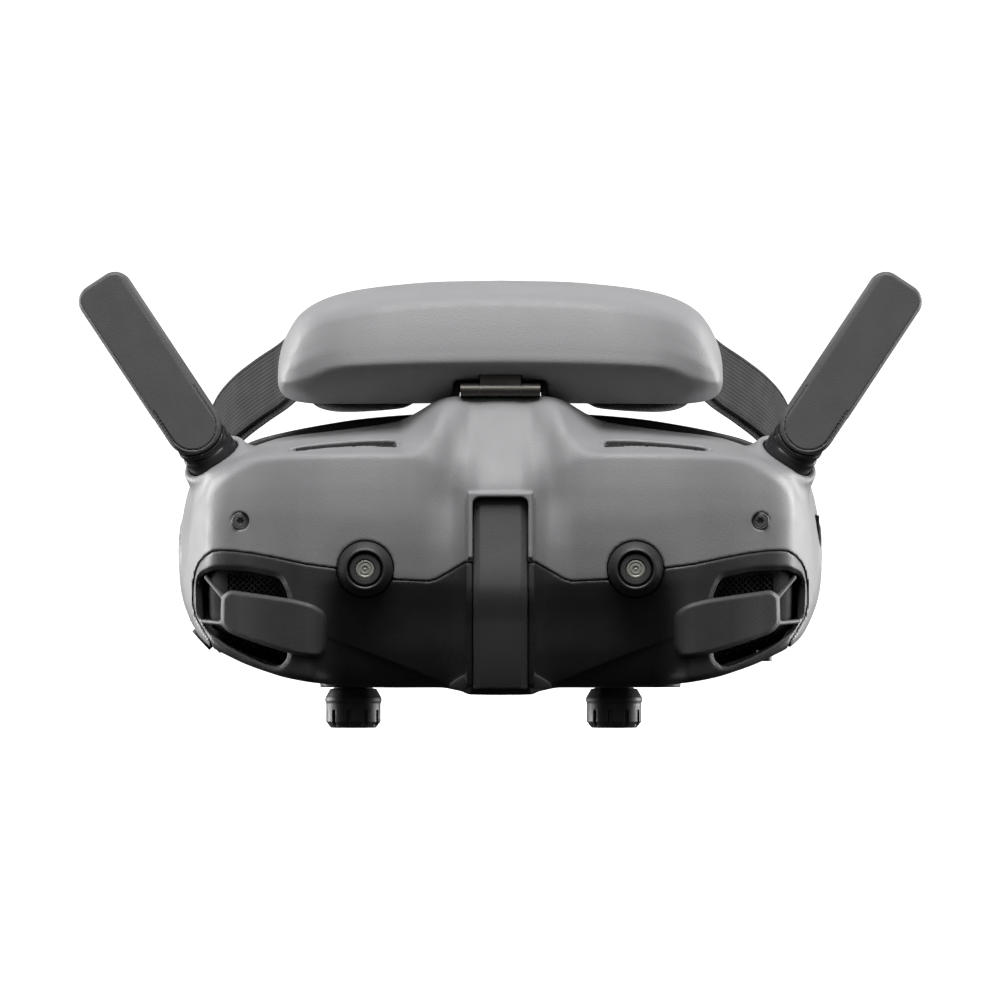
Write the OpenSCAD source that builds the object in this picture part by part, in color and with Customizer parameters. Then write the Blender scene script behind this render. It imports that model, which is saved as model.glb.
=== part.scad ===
// First-person-view goggles: visor housing with two adjustable eyepieces, two
// folding paddle antennas, a hinged forehead pad, and a headband with a rear
// battery pod. X is to the right seen from the front, -Y is the front, +Z is up.
// The origin lies on the face plane, midway between the eyes.

/* [Housing] */
// Wall thickness of the moulded housing
wall = 2.2; // [2.0:0.1:2.4]
// Half of the housing width
half_w = 85; // [84.5:0.1:85.5]
// Gap between the upper shell and the lower black face
seam = 0.3; // [0.2:0.05:0.4]
// Height of the camera and eye line above the origin
cam_z = 0.3; // [0:0.1:0.6]
// Sideways place of each front camera
cam_x = 35.4; // [35:0.1:36]
// Radius of the camera surround
cam_r = 7.4; // [7.2:0.1:7.5]

/* [Eyepieces] */
// Left eyepiece to centre line, at rest (pupil distance, left half)
left_x = 36.5; // [34:0.5:36.5]
// Right eyepiece to centre line, at rest (pupil distance, right half)
right_x = 27.7; // [27.7:0.5:31]
// Outer radius of an eyepiece barrel
barrel_r = 20; // [19.6:0.1:20]
// Sideways offset of the focus knob outboard of its lens axis
knob_off = 2.4; // [2.2:0.1:2.6]
// Largest radius of the focus knob
knob_r = 7.5; // [7.2:0.1:7.6]
// Number of grip slots around the focus knob
knob_slots = 10; // [8:1:12]

/* [Antennas] */
// Length of a paddle from its hinge pin to its tip
paddle_l = 46; // [44:0.5:50]
// Width of a paddle
paddle_w = 15.2; // [14.8:0.1:15.4]
// Thickness of a paddle
paddle_t = 7.6; // [7.4:0.1:7.8]
// Outward lean of the paddles from the vertical, in degrees
paddle_lean = 33.5; // [30:0.5:36]

/* [Headband] */
// Width of the elastic webbing
strap_w = 16; // [14:0.5:17]
// Thickness of the elastic webbing
strap_t = 1.8; // [1.5:0.1:2.0]
// Height of the battery pod
pod_h = 46; // [44:1:48]

/* [Hidden] */
$fn = 48;

// colours
c_grey = [0.47, 0.47, 0.49];
c_black = [0.10, 0.10, 0.11];
c_dark = [0.20, 0.20, 0.21];
c_foam = [0.07, 0.07, 0.08];
c_metal = [0.27, 0.26, 0.24];
c_steel = [0.62, 0.63, 0.65];
c_glass = [0.25, 0.30, 0.29];
c_board = [0.05, 0.25, 0.15];
c_cell = [0.15, 0.35, 0.65];

// ---- housing tables: distance from the centre line, then height or depth
TOP = [[0, 45.5], [13, 45.5], [17, 44], [20.5, 42.5], [23.5, 40.7], [27, 39.2],
  [32.5, 38.4], [44, 36.8], [58, 35], [66, 32.6], [72, 30.8], [78, 28.6],
  [81, 25.6], [83.2, 21.5], [84.5, 17], [85, 12.5]];
BOT = [[0, -32.8], [8, -32.7], [11, -32], [16, -31.2], [27, -31.6], [44, -30.3],
  [52, -29.2], [57, -28.2], [61, -27], [67, -24.9], [72, -22.4], [76, -20],
  [79, -17.6], [81, -13.6], [82.6, -9], [84, -3.5], [85, 3]];
CREASE = [[0, 43.5], [13, 43.3], [17, 40.5], [20.5, 37], [24, 33.5], [28, 31.2],
  [36, 30.6], [58, 30], [66, 28.6], [72, 26.6], [78, 23.6], [82, 19], [85, 10]];
FRONT = [[0, -76.6], [6, -76.2], [10, -74.2], [14, -73], [20, -73.6], [28, -76],
  [36, -77.2], [44, -76.6], [52, -74], [60, -69.4], [68, -62.8], [75, -54.4],
  [80, -45.4], [83, -37.6], [85, -31]];
ARCH = [[0, 43.2], [13, 42.6], [22, 41.6], [29, 41.2], [38, 40.4], [47, 38.9],
  [53, 37.8], [59, 36.6], [64, 35.2], [68.5, 33.6], [74, 31], [79, 27.2],
  [82.4, 21.5], [84, 15]];
XS = [0, 4, 8, 11, 13, 17, 20.5, 24, 28, 33, 38, 44, 50, 56, 61, 66, 70, 74,
  77.5, 80, 82, 83.5, 84.5, 85];
SYM = concat([for (i = [len(XS) - 1:-1:1]) -XS[i]], XS);

function mix(a, b, t) = a + (b - a) * t;
// closed section of the housing at x, pulled in by w, rear face at yr
function hsec(x, w, yr) =
  let (u = abs(x), k = (half_w - w) / 85, X = x * k,
       t = lookup(u, TOP) - w, b = lookup(u, BOT) + w,
       c = min(lookup(u, CREASE), lookup(u, TOP) - 1.2) - w,
       f = lookup(u, FRONT) + w, h = c - b)
  [[X, yr, t], [X, min(max(f + 22, -34), -17), mix(t, c, 0.28)], [X, f + 11, mix(t, c, 0.62)],
   [X, f + 5, mix(t, c, 0.9)], [X, f + 2, c - 0.08 * h], [X, f + 0.5, c - 0.16 * h],
   [X, f, c - 0.32 * h], [X, f, c - 0.68 * h], [X, f + 1.6, b + 0.15 * h],
   [X, f + 4.5, b + 0.06 * h], [X, f + 9, b + 0.01 * h], [X, f + 15, b],
   [X, yr, b]];
// solid through a list of closed sections
module loft(secs) {
  n = len(secs[0]); m = len(secs);
  pts = [for (s = secs) for (p = s) p];
  polyhedron(points = pts, faces = concat(
    [for (i = [0:m - 2], j = [0:n - 1])
      let (a = i * n + j, b = i * n + (j + 1) % n) each [[a, b + n, b], [a, a + n, b + n]]],
    [for (j = [0:n - 3]) [n - 1, j, j + 1]],
    [for (j = [0:n - 3]) [m * n - 1, (m - 1) * n + j + 1, (m - 1) * n + j]]));
}
module ey(y0, y1) translate([0, y1, 0]) rotate([90, 0, 0]) linear_extrude(y1 - y0) children();
module hull_solid(w, yr) loft([for (x = SYM) hsec(x, w, yr)]);
module both() { children(); mirror([1, 0, 0]) children(); }
// puts +Z of the child on direction a at point p
module aim(p, a) translate(p) rotate([0, acos(a[2] / norm(a)), atan2(a[1], a[0])]) children();

// lower edge of the grey shell, seen from the front, for one half
PART = [[0, 2.9], [7.5, 2.9], [11, 0.6], [16.8, -2.6], [27.7, -2.5], [35.4, -1],
  [43, 0.5], [51, 1.6], [58.6, 3.2], [65, 4.4], [70, 5], [75.3, 5.1],
  [78.5, 2.9], [80.1, 0.1], [81.1, -4], [81.3, -8.5], [80.2, -12.6], [78.2, -16],
  [76.4, -18], [75.8, -19.2], [75.6, -60]];
module lower_zone(g) // the black region, as a flat outline
  polygon(concat([for (p = PART) [p[0] - (p[0] > 60 ? g : 0), p[1] - g]],
    [for (i = [len(PART) - 1:-1:0]) [-PART[i][0] + (PART[i][0] > 60 ? g : 0), PART[i][1] - g]]));

// ---- placement
CAM_Y = -80.3;              // front of the camera surround
SCREW = [68.3, 12.9];       // front screws
KN_Y = -36;                 // depth of the focus knob shaft
NJ = [-0.738, 0, -0.675];   // joystick axis
PJ = [-78.2, -36, -17.8];   // joystick centre on the skin
PB = [-78.2, -22, -17.8];   // back button centre on the skin
HY = -60; HZ = 47.35;       // forehead hinge axis
AX = [-0.487, -0.469, 0.736];            // antenna collar axis, left side
AC = [-75.4, -42, 29];                   // antenna collar foot, left side
AK = AC + AX * 12;                       // antenna knuckle centre, left side

// slot outline along X, round ends, exact
module slot2(x0, x1, r) { translate([x0, 0]) circle(r); translate([x1, 0]) circle(r);
  translate([x0, -r]) square([x1 - x0, 2 * r]); }

module cam_holes() both() translate([cam_x, -60, cam_z]) rotate([90, 0, 0]) cylinder(r = cam_r + 0.12, h = 40);
module screw_holes() both() translate([SCREW[0], -40, SCREW[1]]) rotate([90, 0, 0]) cylinder(r = 2.4, h = 40);
module bar_hole(g) ey(-90, -64) polygon([[-7.2 - g, -36], [-7.2 - g, 19 + g], [7.2 + g, 19 + g], [7.2 + g, -36]]);
// nose relief at the underside
module nose_wedge(g, y0) ey(y0, 30) polygon([[-18 - g, -42], [-13.5 - g, -28], [-6 - g, -15 + g],
  [6 + g, -15 + g], [13.5 + g, -28], [18 + g, -42]]);
// side vent recess, left half, as a flat outline
module recess2() polygon([[-78.1, -0.8], [-74.1, 0.2], [-67.9, -0.4], [-58.8, -1.8], [-56.4, -3], [-55.6, -7],
  [-55.6, -23], [-57.4, -25.2], [-61, -25], [-66.5, -22.6], [-72, -19.8], [-77.6, -15.6], [-79.4, -12],
  [-79.8, -7.4], [-79.2, -3]]);
// top air slots
module top_slots() both() translate([0, 0, 0]) linear_extrude(60) polygon([[-54.4, -64.6], [-29, -66],
  [-27, -62.5], [-54, -60]]);
// forehead-side cut-outs shared by both shells
module pod_cut() { aim(PJ - NJ * 8, NJ) cylinder(r = 6, h = 20); aim(PB - NJ * 8, NJ) cylinder(r = 2.8, h = 20);
  translate([70, -24, -40]) cylinder(r = 2.3, h = 30); }
module collar_cut() { aim(AC - AX * 8, AX) cylinder(r = 7.35, h = 30);
  mirror([1, 0, 0]) aim(AC - AX * 8, AX) cylinder(r = 7.35, h = 30); }
module port_cut() translate([78, -27.6, 1]) cube([10, 11.8, 13.6]);

module upper_raw() difference() { hull_solid(0, -14); hull_solid(wall, -9.5); }

module front_shell() color(c_grey) difference() {
  upper_raw();
  ey(-100, 10) lower_zone(0);
  cam_holes(); screw_holes(); bar_hole(0.15); collar_cut(); pod_cut(); port_cut();
  top_slots();
}
module front_visor() color(c_black) difference() {
  intersection() { upper_raw(); ey(-100, 10) lower_zone(seam); }
  cam_holes(); bar_hole(0.15); nose_wedge(0.3, -32); pod_cut();
  both() ey(-100, 0) intersection() { recess2(); translate([-100, -40]) square([200, 80]); }
  translate([-50.2, -58.2, -40]) cube([100.4, 40.4, 16]);
}
module bottom_cover() color(c_black) {
  difference() {
    union() {
      intersection() { upper_raw(); translate([-50, -58, -40]) cube([100, 40, 14.9]); }
      both() translate([0, KN_Y, -31.2]) linear_extrude(3.3) slot2(-38.9, -30.1, 9.4);
    }
    both() translate([0, KN_Y, -40]) linear_extrude(10.6) slot2(-38.9, -30.1, 8.2);
    both() translate([0, KN_Y, -40]) linear_extrude(20) slot2(-38.9, -30.1, 5.45);
    nose_wedge(0.3, -32);
  }
}
function outline(g) = concat(
  [for (i = [len(ARCH) - 1:-1:1]) [-ARCH[i][0] + g, ARCH[i][1] - g]],
  [for (p = ARCH) [p[0] - g * (p[0] > 1 ? 1 : 0), p[1] - g]],
  [for (i = [len(BOT) - 2:-1:1]) [BOT[i][0] - g, BOT[i][1] + g]],
  [for (i = [0:len(BOT) - 2]) [-BOT[i][0] + g * (BOT[i][0] > 1 ? 1 : 0), BOT[i][1] + g]]);
module rear_frame() color(c_black) difference() {
  union() {
    ey(-13.8, -8) polygon(outline(0.4));
    // rail arms
    for (s = [-1, 1], t = [-1, 1]) translate([s * 52 - 2, -49, t * 24.5 - 1.7]) cube([4, 35.3, 3.9]);
  }
  both() ey(-30, 0) slot2(-36.5, -27.7, 21.2);
  nose_wedge(0.3, -32);
  for (t = [-1, 1]) translate([-60, -46, t * 24.5]) rotate([0, 90, 0]) cylinder(r = 1.3, h = 120);
  for (x = [-74, 74], z = [2, 16]) translate([x, -10.6, z]) rotate([-90, 0, 0]) cylinder(r = 1.9, h = 5);
  for (x = [-74, 74], z = [2, 16]) translate([x, -20, z]) rotate([-90, 0, 0]) cylinder(r = 1.1, h = 20);
}
module face_foam() color(c_foam) difference() {
  ey(-7.8, 24) polygon(outline(1.4));
  ey(-30, 40) polygon([[-66, -14], [-60, -19], [-22, -22], [-10, -8], [10, -8], [22, -22], [60, -19], [66, -14],
    [70, 0], [69, 18], [60, 27], [30, 31], [-30, 31], [-60, 27], [-69, 18], [-70, 0]]);
  translate([0, 145.5, -50]) cylinder(r = 144, h = 120, $fn = 180);
  nose_wedge(0.4, -32);
}
module nose_flap() color(c_dark) difference() {
  intersection() { nose_wedge(0, -31.6); translate([-30, -31.6, -30.5]) cube([60, 23.4, 40]); }
  translate([0, 0, -1.4]) nose_wedge(0, -30);
}
module nose_bar() color(c_dark) {
  difference() {
    ey(-78, -70) polygon([[-7.2, -30.5], [-7.2, 17.6], [-5.8, 19], [5.8, 19], [7.2, 17.6], [7.2, -30.5]]);
    translate([0, -79, 0]) ey(-1, 1.6) polygon([[-5.5, -40], [-5.5, 17], [5.5, 17], [5.5, -40]]);
  }
}
module bezel() translate([cam_x, 0, cam_z]) rotate([90, 0, 0]) rotate_extrude() polygon([[4.7, 66], [7.3, 66],
  [7.3, 78.6], [6.3, 80.3], [5.4, 80.3], [4.7, 79.6]]);
module camera_bezel_left() color(c_dark) mirror([1, 0, 0]) bezel();
module camera_bezel_right() color(c_dark) bezel();
module camera_modules() color(c_black) both() translate([cam_x, 0, cam_z]) {
  rotate([90, 0, 0]) rotate_extrude() polygon([[0, 64.4], [4.55, 64.4], [4.55, 79.2], [2.6, 79.2], [2.6, 78.2], [0, 78.2]]);
  translate([-4.5, -65.8, -4.5]) cube([9, 1.8, 9]);
}
module camera_glasses() color(c_glass) both() translate([cam_x, -78.3, cam_z]) rotate([90, 0, 0])
  cylinder(r = 2.5, h = 0.8);
module plate() ey(-78.4, -55) polygon([[-73, -6.9], [-71.3, -5.4], [-54, -8], [-49.4, -9], [-46.2, -10.9], [-45.4, -12.8],
  [-45.6, -21], [-48, -22.9], [-53.5, -22.1], [-60.1, -20.2], [-66.9, -18.1], [-71.6, -16.3], [-73.3, -14.4]]);
// curved cover in front of each side vent
module vent_cover() difference() {
  intersection() { plate(); hull_solid(-1.6, -14); }
  hull_solid(-0.15, -13);
}
module vent_plate_left() color(c_dark) vent_cover();
module vent_plate_right() color(c_dark) mirror([1, 0, 0]) vent_cover();
module vent_meshes() color(c_black) both() difference() {
  translate([-80, 0, 0]) ey(-49, -47.6) polygon([[5.4, -16.2], [5.4, -1.4], [20.4, -2.6], [20.4, -23.2], [16, -22.2], [10, -19.8]]);
  for (i = [0:4], j = [0:6]) translate([-75 + i * 3, -50, -21 + j * 3]) cube([1.7, 5, 1.7]);
}
module top_vent_meshes() color(c_black) both() translate([-53, -65, 27.4]) difference() {
  cube([23, 5, 1]);
  for (i = [0:8]) translate([1.2 + i * 2.4, 1, -1]) cube([1.4, 3, 4]);
}
module screw(l) { difference() { cylinder(r = 2.2, h = 1.6); translate([0, 0, 0.7]) cylinder(r = 1.15, h = 2, $fn = 6); }
  translate([0, 0, -l]) cylinder(r = 0.9, h = l + 0.1); }
module housing_screws() color(c_dark) {
  both() translate([SCREW[0], -61.4, SCREW[1]]) rotate([90, 0, 0]) screw(6);
  for (x = [-74, 74], z = [2, 16]) translate([x, -10.4, z]) rotate([-90, 0, 0]) scale(0.82) screw(8);
}
module mainboard() color(c_board) {
  translate([-48, -54, 27.9]) cube([96, 34, 1]);
  for (x = [-34, -12, 14, 36]) translate([x - 5, -46, 28.9]) cube([10, 10, 1.1]);
  translate([-30, -30, 28.9]) cube([60, 6, 1.6]);
}
module fan_case() color(c_black) difference() {
  translate([-12.5, -68.4, 0]) cube([25, 5, 25]);
  translate([0, -67.4, 12.5]) rotate([-90, 0, 0]) cylinder(r = 11.3, h = 10);
  translate([0, -68.5, 12.5]) rotate([-90, 0, 0]) cylinder(r = 1.05, h = 10);
}
module fan_rotor() color(c_dark) translate([0, -68.3, 12.5]) rotate([-90, 0, 0]) {
  cylinder(r = 1, h = 2);
  translate([0, 0, 1.6]) cylinder(r = 4.6, h = 3.1);
  for (a = [0:24:359]) rotate(a) translate([4.2, -0.4, 1.8]) cube([6.6, 0.8, 2.7]);
}
module guide_rails() color(c_steel) for (t = [-1, 1]) translate([-54, -46, t * 24.5]) rotate([0, 90, 0])
  cylinder(r = 1.25, h = 108);
module hinge_base() color(c_metal) difference() {
  union() {
    for (x = [-10.5, 5.45]) translate([x, HY, HZ]) rotate([0, 90, 0]) cylinder(r = 1.7, h = 5.05);
    for (x = [-10.5, 5.45]) translate([x, HY, HZ - 1.7]) cube([5.05, 6, 1.3]);
    translate([-10.5, HY + 2.2, HZ - 1.7]) cube([21, 13, 1.3]);
  }
  translate([-20, HY, HZ]) rotate([0, 90, 0]) cylinder(r = 0.9, h = 40);
}
module hinge_pin() color(c_steel) translate([-10.5, HY, HZ]) rotate([0, 90, 0]) cylinder(r = 0.87, h = 21);
module port_block() color(c_black) difference() {
  translate([76.4, -27.2, 1.4]) cube([6.2, 11, 12.8]);
  translate([79, -25.4, 3.8]) rotate([0, 90, 0]) { translate([0, 0, 0]) cylinder(r = 1.3, h = 9); }
  translate([79, -25.4, 3.8 - 1.3]) cube([9, 6.4, 2.6]);
  translate([79, -19, 3.8]) rotate([0, 90, 0]) cylinder(r = 1.3, h = 9);
  translate([78.6, -23.6, 10]) rotate([0, 90, 0]) cylinder(r = 2.5, h = 9);
  translate([79, -19.6, 7.4]) cube([9, 1, 5.6]);
}
module port_cover() color(c_dark) {
  translate([83.1, -27.3, 1.3]) cube([1.5, 10.1, 13]);
  translate([83.85, -17.2, 1.3]) cylinder(r = 0.75, h = 13);
}
module control_pod() color(c_grey) aim(PJ, NJ) difference() {
  translate([0, 0, -5]) cylinder(r = 5.9, h = 5);
  translate([0, 0, -3.9]) cylinder(r = 4.6, h = 9);
  translate([0, 0, -6]) cylinder(r = 1.2, h = 9);
}
module joystick_gimbal() color(c_steel) aim(PJ, NJ) translate([0, 0, -3]) difference() {
  cylinder(r = 4.2, h = 0.8);
  translate([0, 0, -1]) cylinder(r = 3.2, h = 3);
}
module joystick_stem() color(c_black) aim(PJ, NJ) translate([0, 0, -3]) difference() {
  cylinder(r = 3, h = 1.5);
  translate([0, 0, 0.7]) cylinder(r = 1.1, h = 3);
}
module joystick_cap() color(c_dark) aim(PJ, NJ) {
  translate([0, 0, -1.1]) cylinder(r = 3.4, h = 2.6);
  translate([0, 0, -1.9]) cylinder(r = 1.04, h = 1);
}
module back_button() color(c_dark) aim(PB, NJ) { translate([0, 0, -1.6]) cylinder(r = 2.5, h = 2.4); }
module link_button() color(c_dark) translate([70, -24, -24.4]) cylinder(r = 2.1, h = 3);

// ---- eyepieces. s = -1 for the left side, 1 for the right; p = lens place
module carriage(s, p) translate([s * p, 0, 0]) difference() {
  union() {
    translate([0, -26, 0]) rotate([90, 0, 0]) cylinder(r = 22.25, h = 36);
    ey(-63, -61) translate([-21.5, -20]) square([43, 40]);
    for (t = [-1, 1]) {
      translate([-7, -46, t * 24.5]) rotate([0, 90, 0]) cylinder(r = 2.6, h = 14);
      translate([-7, -48, t * 22.4 - 1.6]) cube([14, 4, 3.2]);
    }
    translate([-8, -42, -26.2]) cube([16, 12, 6]);
  }
  translate([0, -20, 0]) rotate([90, 0, 0]) cylinder(r = barrel_r + 0.06, h = 41);
  for (t = [-1, 1]) translate([-30, -46, t * 24.5]) rotate([0, 90, 0]) cylinder(r = 1.3, h = 60);
  // rack channel and pinion chamber
  translate([-3.4, -62, -25.1]) cube([6.8, 40, 8]);
  translate([s * knob_off, KN_Y, -25.2]) cylinder(r = 3, h = 8);
  translate([s * knob_off, KN_Y, -30]) cylinder(r = 1.65, h = 8);
}
module lens_carriage_left() color(c_black) carriage(-1, left_x);
module lens_carriage_right() color(c_black) carriage(1, right_x);
module panel(x) ey(-60.9, -59.4) translate([x - 12.5, -12.5]) square(25);
module display_panel_left() color(c_steel) panel(-left_x);
module display_panel_right() color(c_steel) panel(right_x);
module pinion(x) translate([x, KN_Y, 0]) {
  translate([0, 0, -24.9]) cylinder(r = 1.35, h = 4.3);
  for (a = [0:45:359]) rotate(a) translate([0, 0, -24.9]) linear_extrude(4.3) polygon([[1.2, -0.34], [2.1, -0.27],
    [2.55, -0.1], [2.55, 0.1], [2.1, 0.27], [1.2, 0.34]]);
  translate([0, 0, -26.2]) cylinder(r = 1.6, h = 1.4);
  translate([0, 0, -36]) cylinder(r = 1.5, h = 10.2, $fn = 6);
}
module focus_pinion_left() color(c_steel) pinion(-left_x - knob_off);
module focus_pinion_right() color(c_steel) pinion(right_x + knob_off);
module knob(x) translate([x, KN_Y, 0]) difference() {
  rotate_extrude($fn = 96) polygon([[0, -41.8], [5.6, -41.8], [7, -40.3], [knob_r, -34.6], [7.2, -33], [5.9, -31.8],
    [5.15, -31.8], [5.15, -28.5], [0, -28.5]]);
  translate([0, 0, -38.5]) cylinder(r = 1.66, h = 12.5, $fn = 6);
  for (i = [0:knob_slots - 1]) rotate(i * 360 / knob_slots) translate([6.5, -0.6, -45]) cube([3, 1.2, 8]);
}
module focus_knob_left() color(c_dark) knob(-left_x - knob_off);
module focus_knob_right() color(c_dark) knob(right_x + knob_off);
P = PI / 2; // rack pitch
module barrel(s, p) translate([s * p, 0, 0]) difference() {
  union() {
    translate([0, -15.5, 0]) rotate([90, 0, 0]) cylinder(r = barrel_r, h = 30.5);
    // rack, teeth toward the pinion
    translate([0, 0, -23.05]) linear_extrude(4.45) {
      polygon([[s * -2.8, -44], [s * -0.4, -44], [s * -0.4, -20], [s * -2.8, -20]]);
      for (i = [-5:9]) translate([s * -0.1, KN_Y + (i + 0.5) * P])
        polygon([[s * -0.4, -0.36], [s * 0.7, -0.12], [s * 0.7, 0.12], [s * -0.4, 0.36]]);
    }
  }
  translate([0, -17.5, 0]) rotate([90, 0, 0]) cylinder(r = barrel_r - 2, h = 60);
  translate([0, -10, 0]) rotate([90, 0, 0]) cylinder(r = barrel_r - 2.4, h = 60);
}
module eyepiece_barrel_left() color(c_black) barrel(-1, left_x);
module eyepiece_barrel_right() color(c_black) barrel(1, right_x);
module lens(x) translate([x, -17.6, 0]) intersection() {
  rotate([90, 0, 0]) cylinder(r = barrel_r - 2.1, h = 7);
  translate([0, -46, 0]) sphere(r = 46, $fn = 96);
}
module eyepiece_lens_left() color(c_glass) lens(-left_x);
module eyepiece_lens_right() color(c_glass) lens(right_x);

// ---- antennas, drawn for the left side
PD = [-sin(paddle_lean), 0, cos(paddle_lean)];
module collar() difference() {
  union() {
    difference() {
      aim(AC, AX) { translate([0, 0, -3]) cylinder(r = 7.1, h = 8); translate([0, 0, 4.9]) cylinder(r = 6.4, h = 1.4);
        translate([0, 0, 6.2]) cylinder(r = 7.1, h = 1.2); }
      translate(AK + [0, 4.1, 0]) rotate([90, 0, 0]) cylinder(r = 7.85, h = 20);
    }
    intersection() {
      translate(AK + [0, 1.7, 0]) rotate([90, 0, 0]) cylinder(r = 6.9, h = 3.4);
      translate(AK - [20, 20, 20]) cube(40);
    }
    translate(AK + [0, 3.9, 0]) rotate([90, 0, 0]) cylinder(r = 1.6, h = 7.8);
    // web between tongue and collar
    intersection() {
      translate(AK + [-1.7, 1.7, 0]) rotate([90, 0, 0]) linear_extrude(3.4) rotate(paddle_lean) polygon([[-5, -11], [5, -11], [5, 0], [-5, 0]]);
      aim(AC, AX) translate([0, 0, 1]) cylinder(r = 7, h = 12);
    }
  }
}
module paddle() translate(AK) rotate([0, -paddle_lean, 0]) difference() {
  union() {
    rotate([90, 0, 0]) translate([0, 0, -paddle_t / 2]) linear_extrude(paddle_t) {
      circle(paddle_w / 2);
      translate([-paddle_w / 2, 0]) square([paddle_w, paddle_l - 5]);
      translate([-paddle_w / 2 + 5, paddle_l - 8]) square([paddle_w - 10, 8]);
      for (x = [-1, 1]) translate([x * (paddle_w / 2 - 5), paddle_l - 5]) circle(5);
    }
  }
  // fork slot for the collar tongue
  translate([-9, -1.8, -9]) cube([18, 3.6, 16.2]);
  rotate([90, 0, 0]) translate([0, 0, -10]) cylinder(r = 1.65, h = 20);
}
module antenna_collar_left() color(c_black) collar();
module antenna_collar_right() color(c_black) mirror([1, 0, 0]) collar();
module antenna_paddle_left() color(c_dark) paddle();
module antenna_paddle_right() color(c_dark) mirror([1, 0, 0]) paddle();

// ---- forehead pad
PT = [[0, 76.5], [16, 76.2], [29, 75.2], [40, 73.8], [46.6, 71.9], [52, 69.2], [55, 66.6], [57, 63], [58.6, 59], [59.4, 55.4]];
PU = [[0, 46.7], [14.5, 46.7], [18.5, 45.2], [23, 44.4], [42, 44.2], [49, 44.5], [53, 45.7], [57.5, 47.8], [59.4, 49.2]];
PF = [[0, -65], [30, -64], [44, -61], [52, -57], [56, -53.5], [58.5, -50], [59.4, -47]];
PX = [0, 8, 14.5, 18.5, 23, 29, 40, 46.6, 52, 55, 57, 58.6, 59.4];
PSYM = concat([for (i = [len(PX) - 1:-1:1]) -PX[i]], PX);
function psec(x, w, yr) =
  let (u = abs(x), X = x * (59.4 - w) / 59.4, t = lookup(u, PT) - w, b = lookup(u, PU) + w, f = lookup(u, PF) + w, h = t - b)
  [[X, yr, t], [X, max(f + 14, -45), t - 0.02 * h], [X, f + 4, t - 0.12 * h], [X, f + 1, t - 0.2 * h], [X, f, t - 0.4 * h],
   [X, f + 0.4, b + 0.36 * h], [X, f + 2.4, b + 0.24 * h], [X, f + 9, b + 0.08 * h], [X, f + 15, b], [X, yr, b]];
module pad_solid(w, yr) loft([for (x = PSYM) psec(x, w, yr)]);
module pad_shell() color(c_grey) difference() {
  pad_solid(0, -30);
  pad_solid(wall, -29);
  translate([-12.4, -70, 40]) cube([24.8, 45, 10.2]);
  translate([-5.7, -61.3, 45]) cube([11.4, 2.6, 11.6]);
}
module pad_core() color(c_metal) {
  difference() {
    union() {
      translate([-5.35, HY, HZ]) rotate([0, 90, 0]) cylinder(r = 1.7, h = 10.7);
      translate([-5.35, HY - 0.9, HZ + 0.6]) cube([10.7, 1.8, 9]);
      translate([-30, HY - 0.9, HZ + 9.4]) cube([60, 1.8, 8]);
      translate([-30, HY - 0.9, HZ + 12]) cube([60, 28, 2]);
      translate([-50, -33.8, HZ + 2]) cube([100, 3, 17]);
    }
    translate([-20, HY, HZ]) rotate([0, 90, 0]) cylinder(r = 0.92, h = 40);
  }
}
module pad_cushion() color(c_foam) difference() {
  ey(-29.8, 22) polygon([[-52.6, 60], [-51, 66], [-45, 70.5], [-28, 73.4], [0, 74.4], [28, 73.4], [45, 70.5], [51, 66], [52.6, 60],
    [52.6, 48], [50, 43.6], [46, 41.8], [42, 42.6], [24, 43.8], [19, 46.8], [-19, 46.8], [-24, 43.8], [-42, 42.6],
    [-46, 41.8], [-50, 43.6], [-52.6, 48]]);
  translate([0, 92, 30]) cylinder(r = 92, h = 60, $fn = 140);
  translate([-100, 16, 0]) cube([200, 20, 100]);
}

// ---- headband: band centre points, left side
ROUTE = [[-55.6, -28, 54], [-59, -17, 51.5], [-64.5, -5, 48], [-70.5, 9, 43.6], [-75, 25, 39], [-77.6, 44, 34.4],
  [-78.6, 66, 29.6], [-77.6, 88, 25], [-74, 108, 21], [-68.4, 126, 17.6], [-63.8, 139, 15.6], [-59.9, 150.4, 15]];
function unit(v) = v / norm(v);
function tangent(i) = unit(ROUTE[min(i + 1, len(ROUTE) - 1)] - ROUTE[max(i - 1, 0)]);
// outward normal, square to the band's run
function outn(i) = let (t = tangent(i)) unit(cross(t, [0, 0, 1]));
function band(i, w, t0, t1, dz) = let (n = outn(i), v = unit(cross(n, tangent(i))), c = ROUTE[i] + v * dz)
  [c + v * w / 2 + n * t0, c + v * w / 2 + n * t1, c - v * w / 2 + n * t1, c - v * w / 2 + n * t0];
module strip(w, t0, t1, dz) loft([for (i = [0:len(ROUTE) - 1]) band(i, w, t0, t1, dz)]);
module strap_left() color(c_black) strip(strap_w, -strap_t / 2, strap_t / 2, 0);
module strap_right() color(c_black) mirror([1, 0, 0]) strap_left();
module strap_lining() color(c_foam) both() strip(strap_w + 2, strap_t / 2 + 0.2, strap_t / 2 + 1.25, 0);

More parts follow.
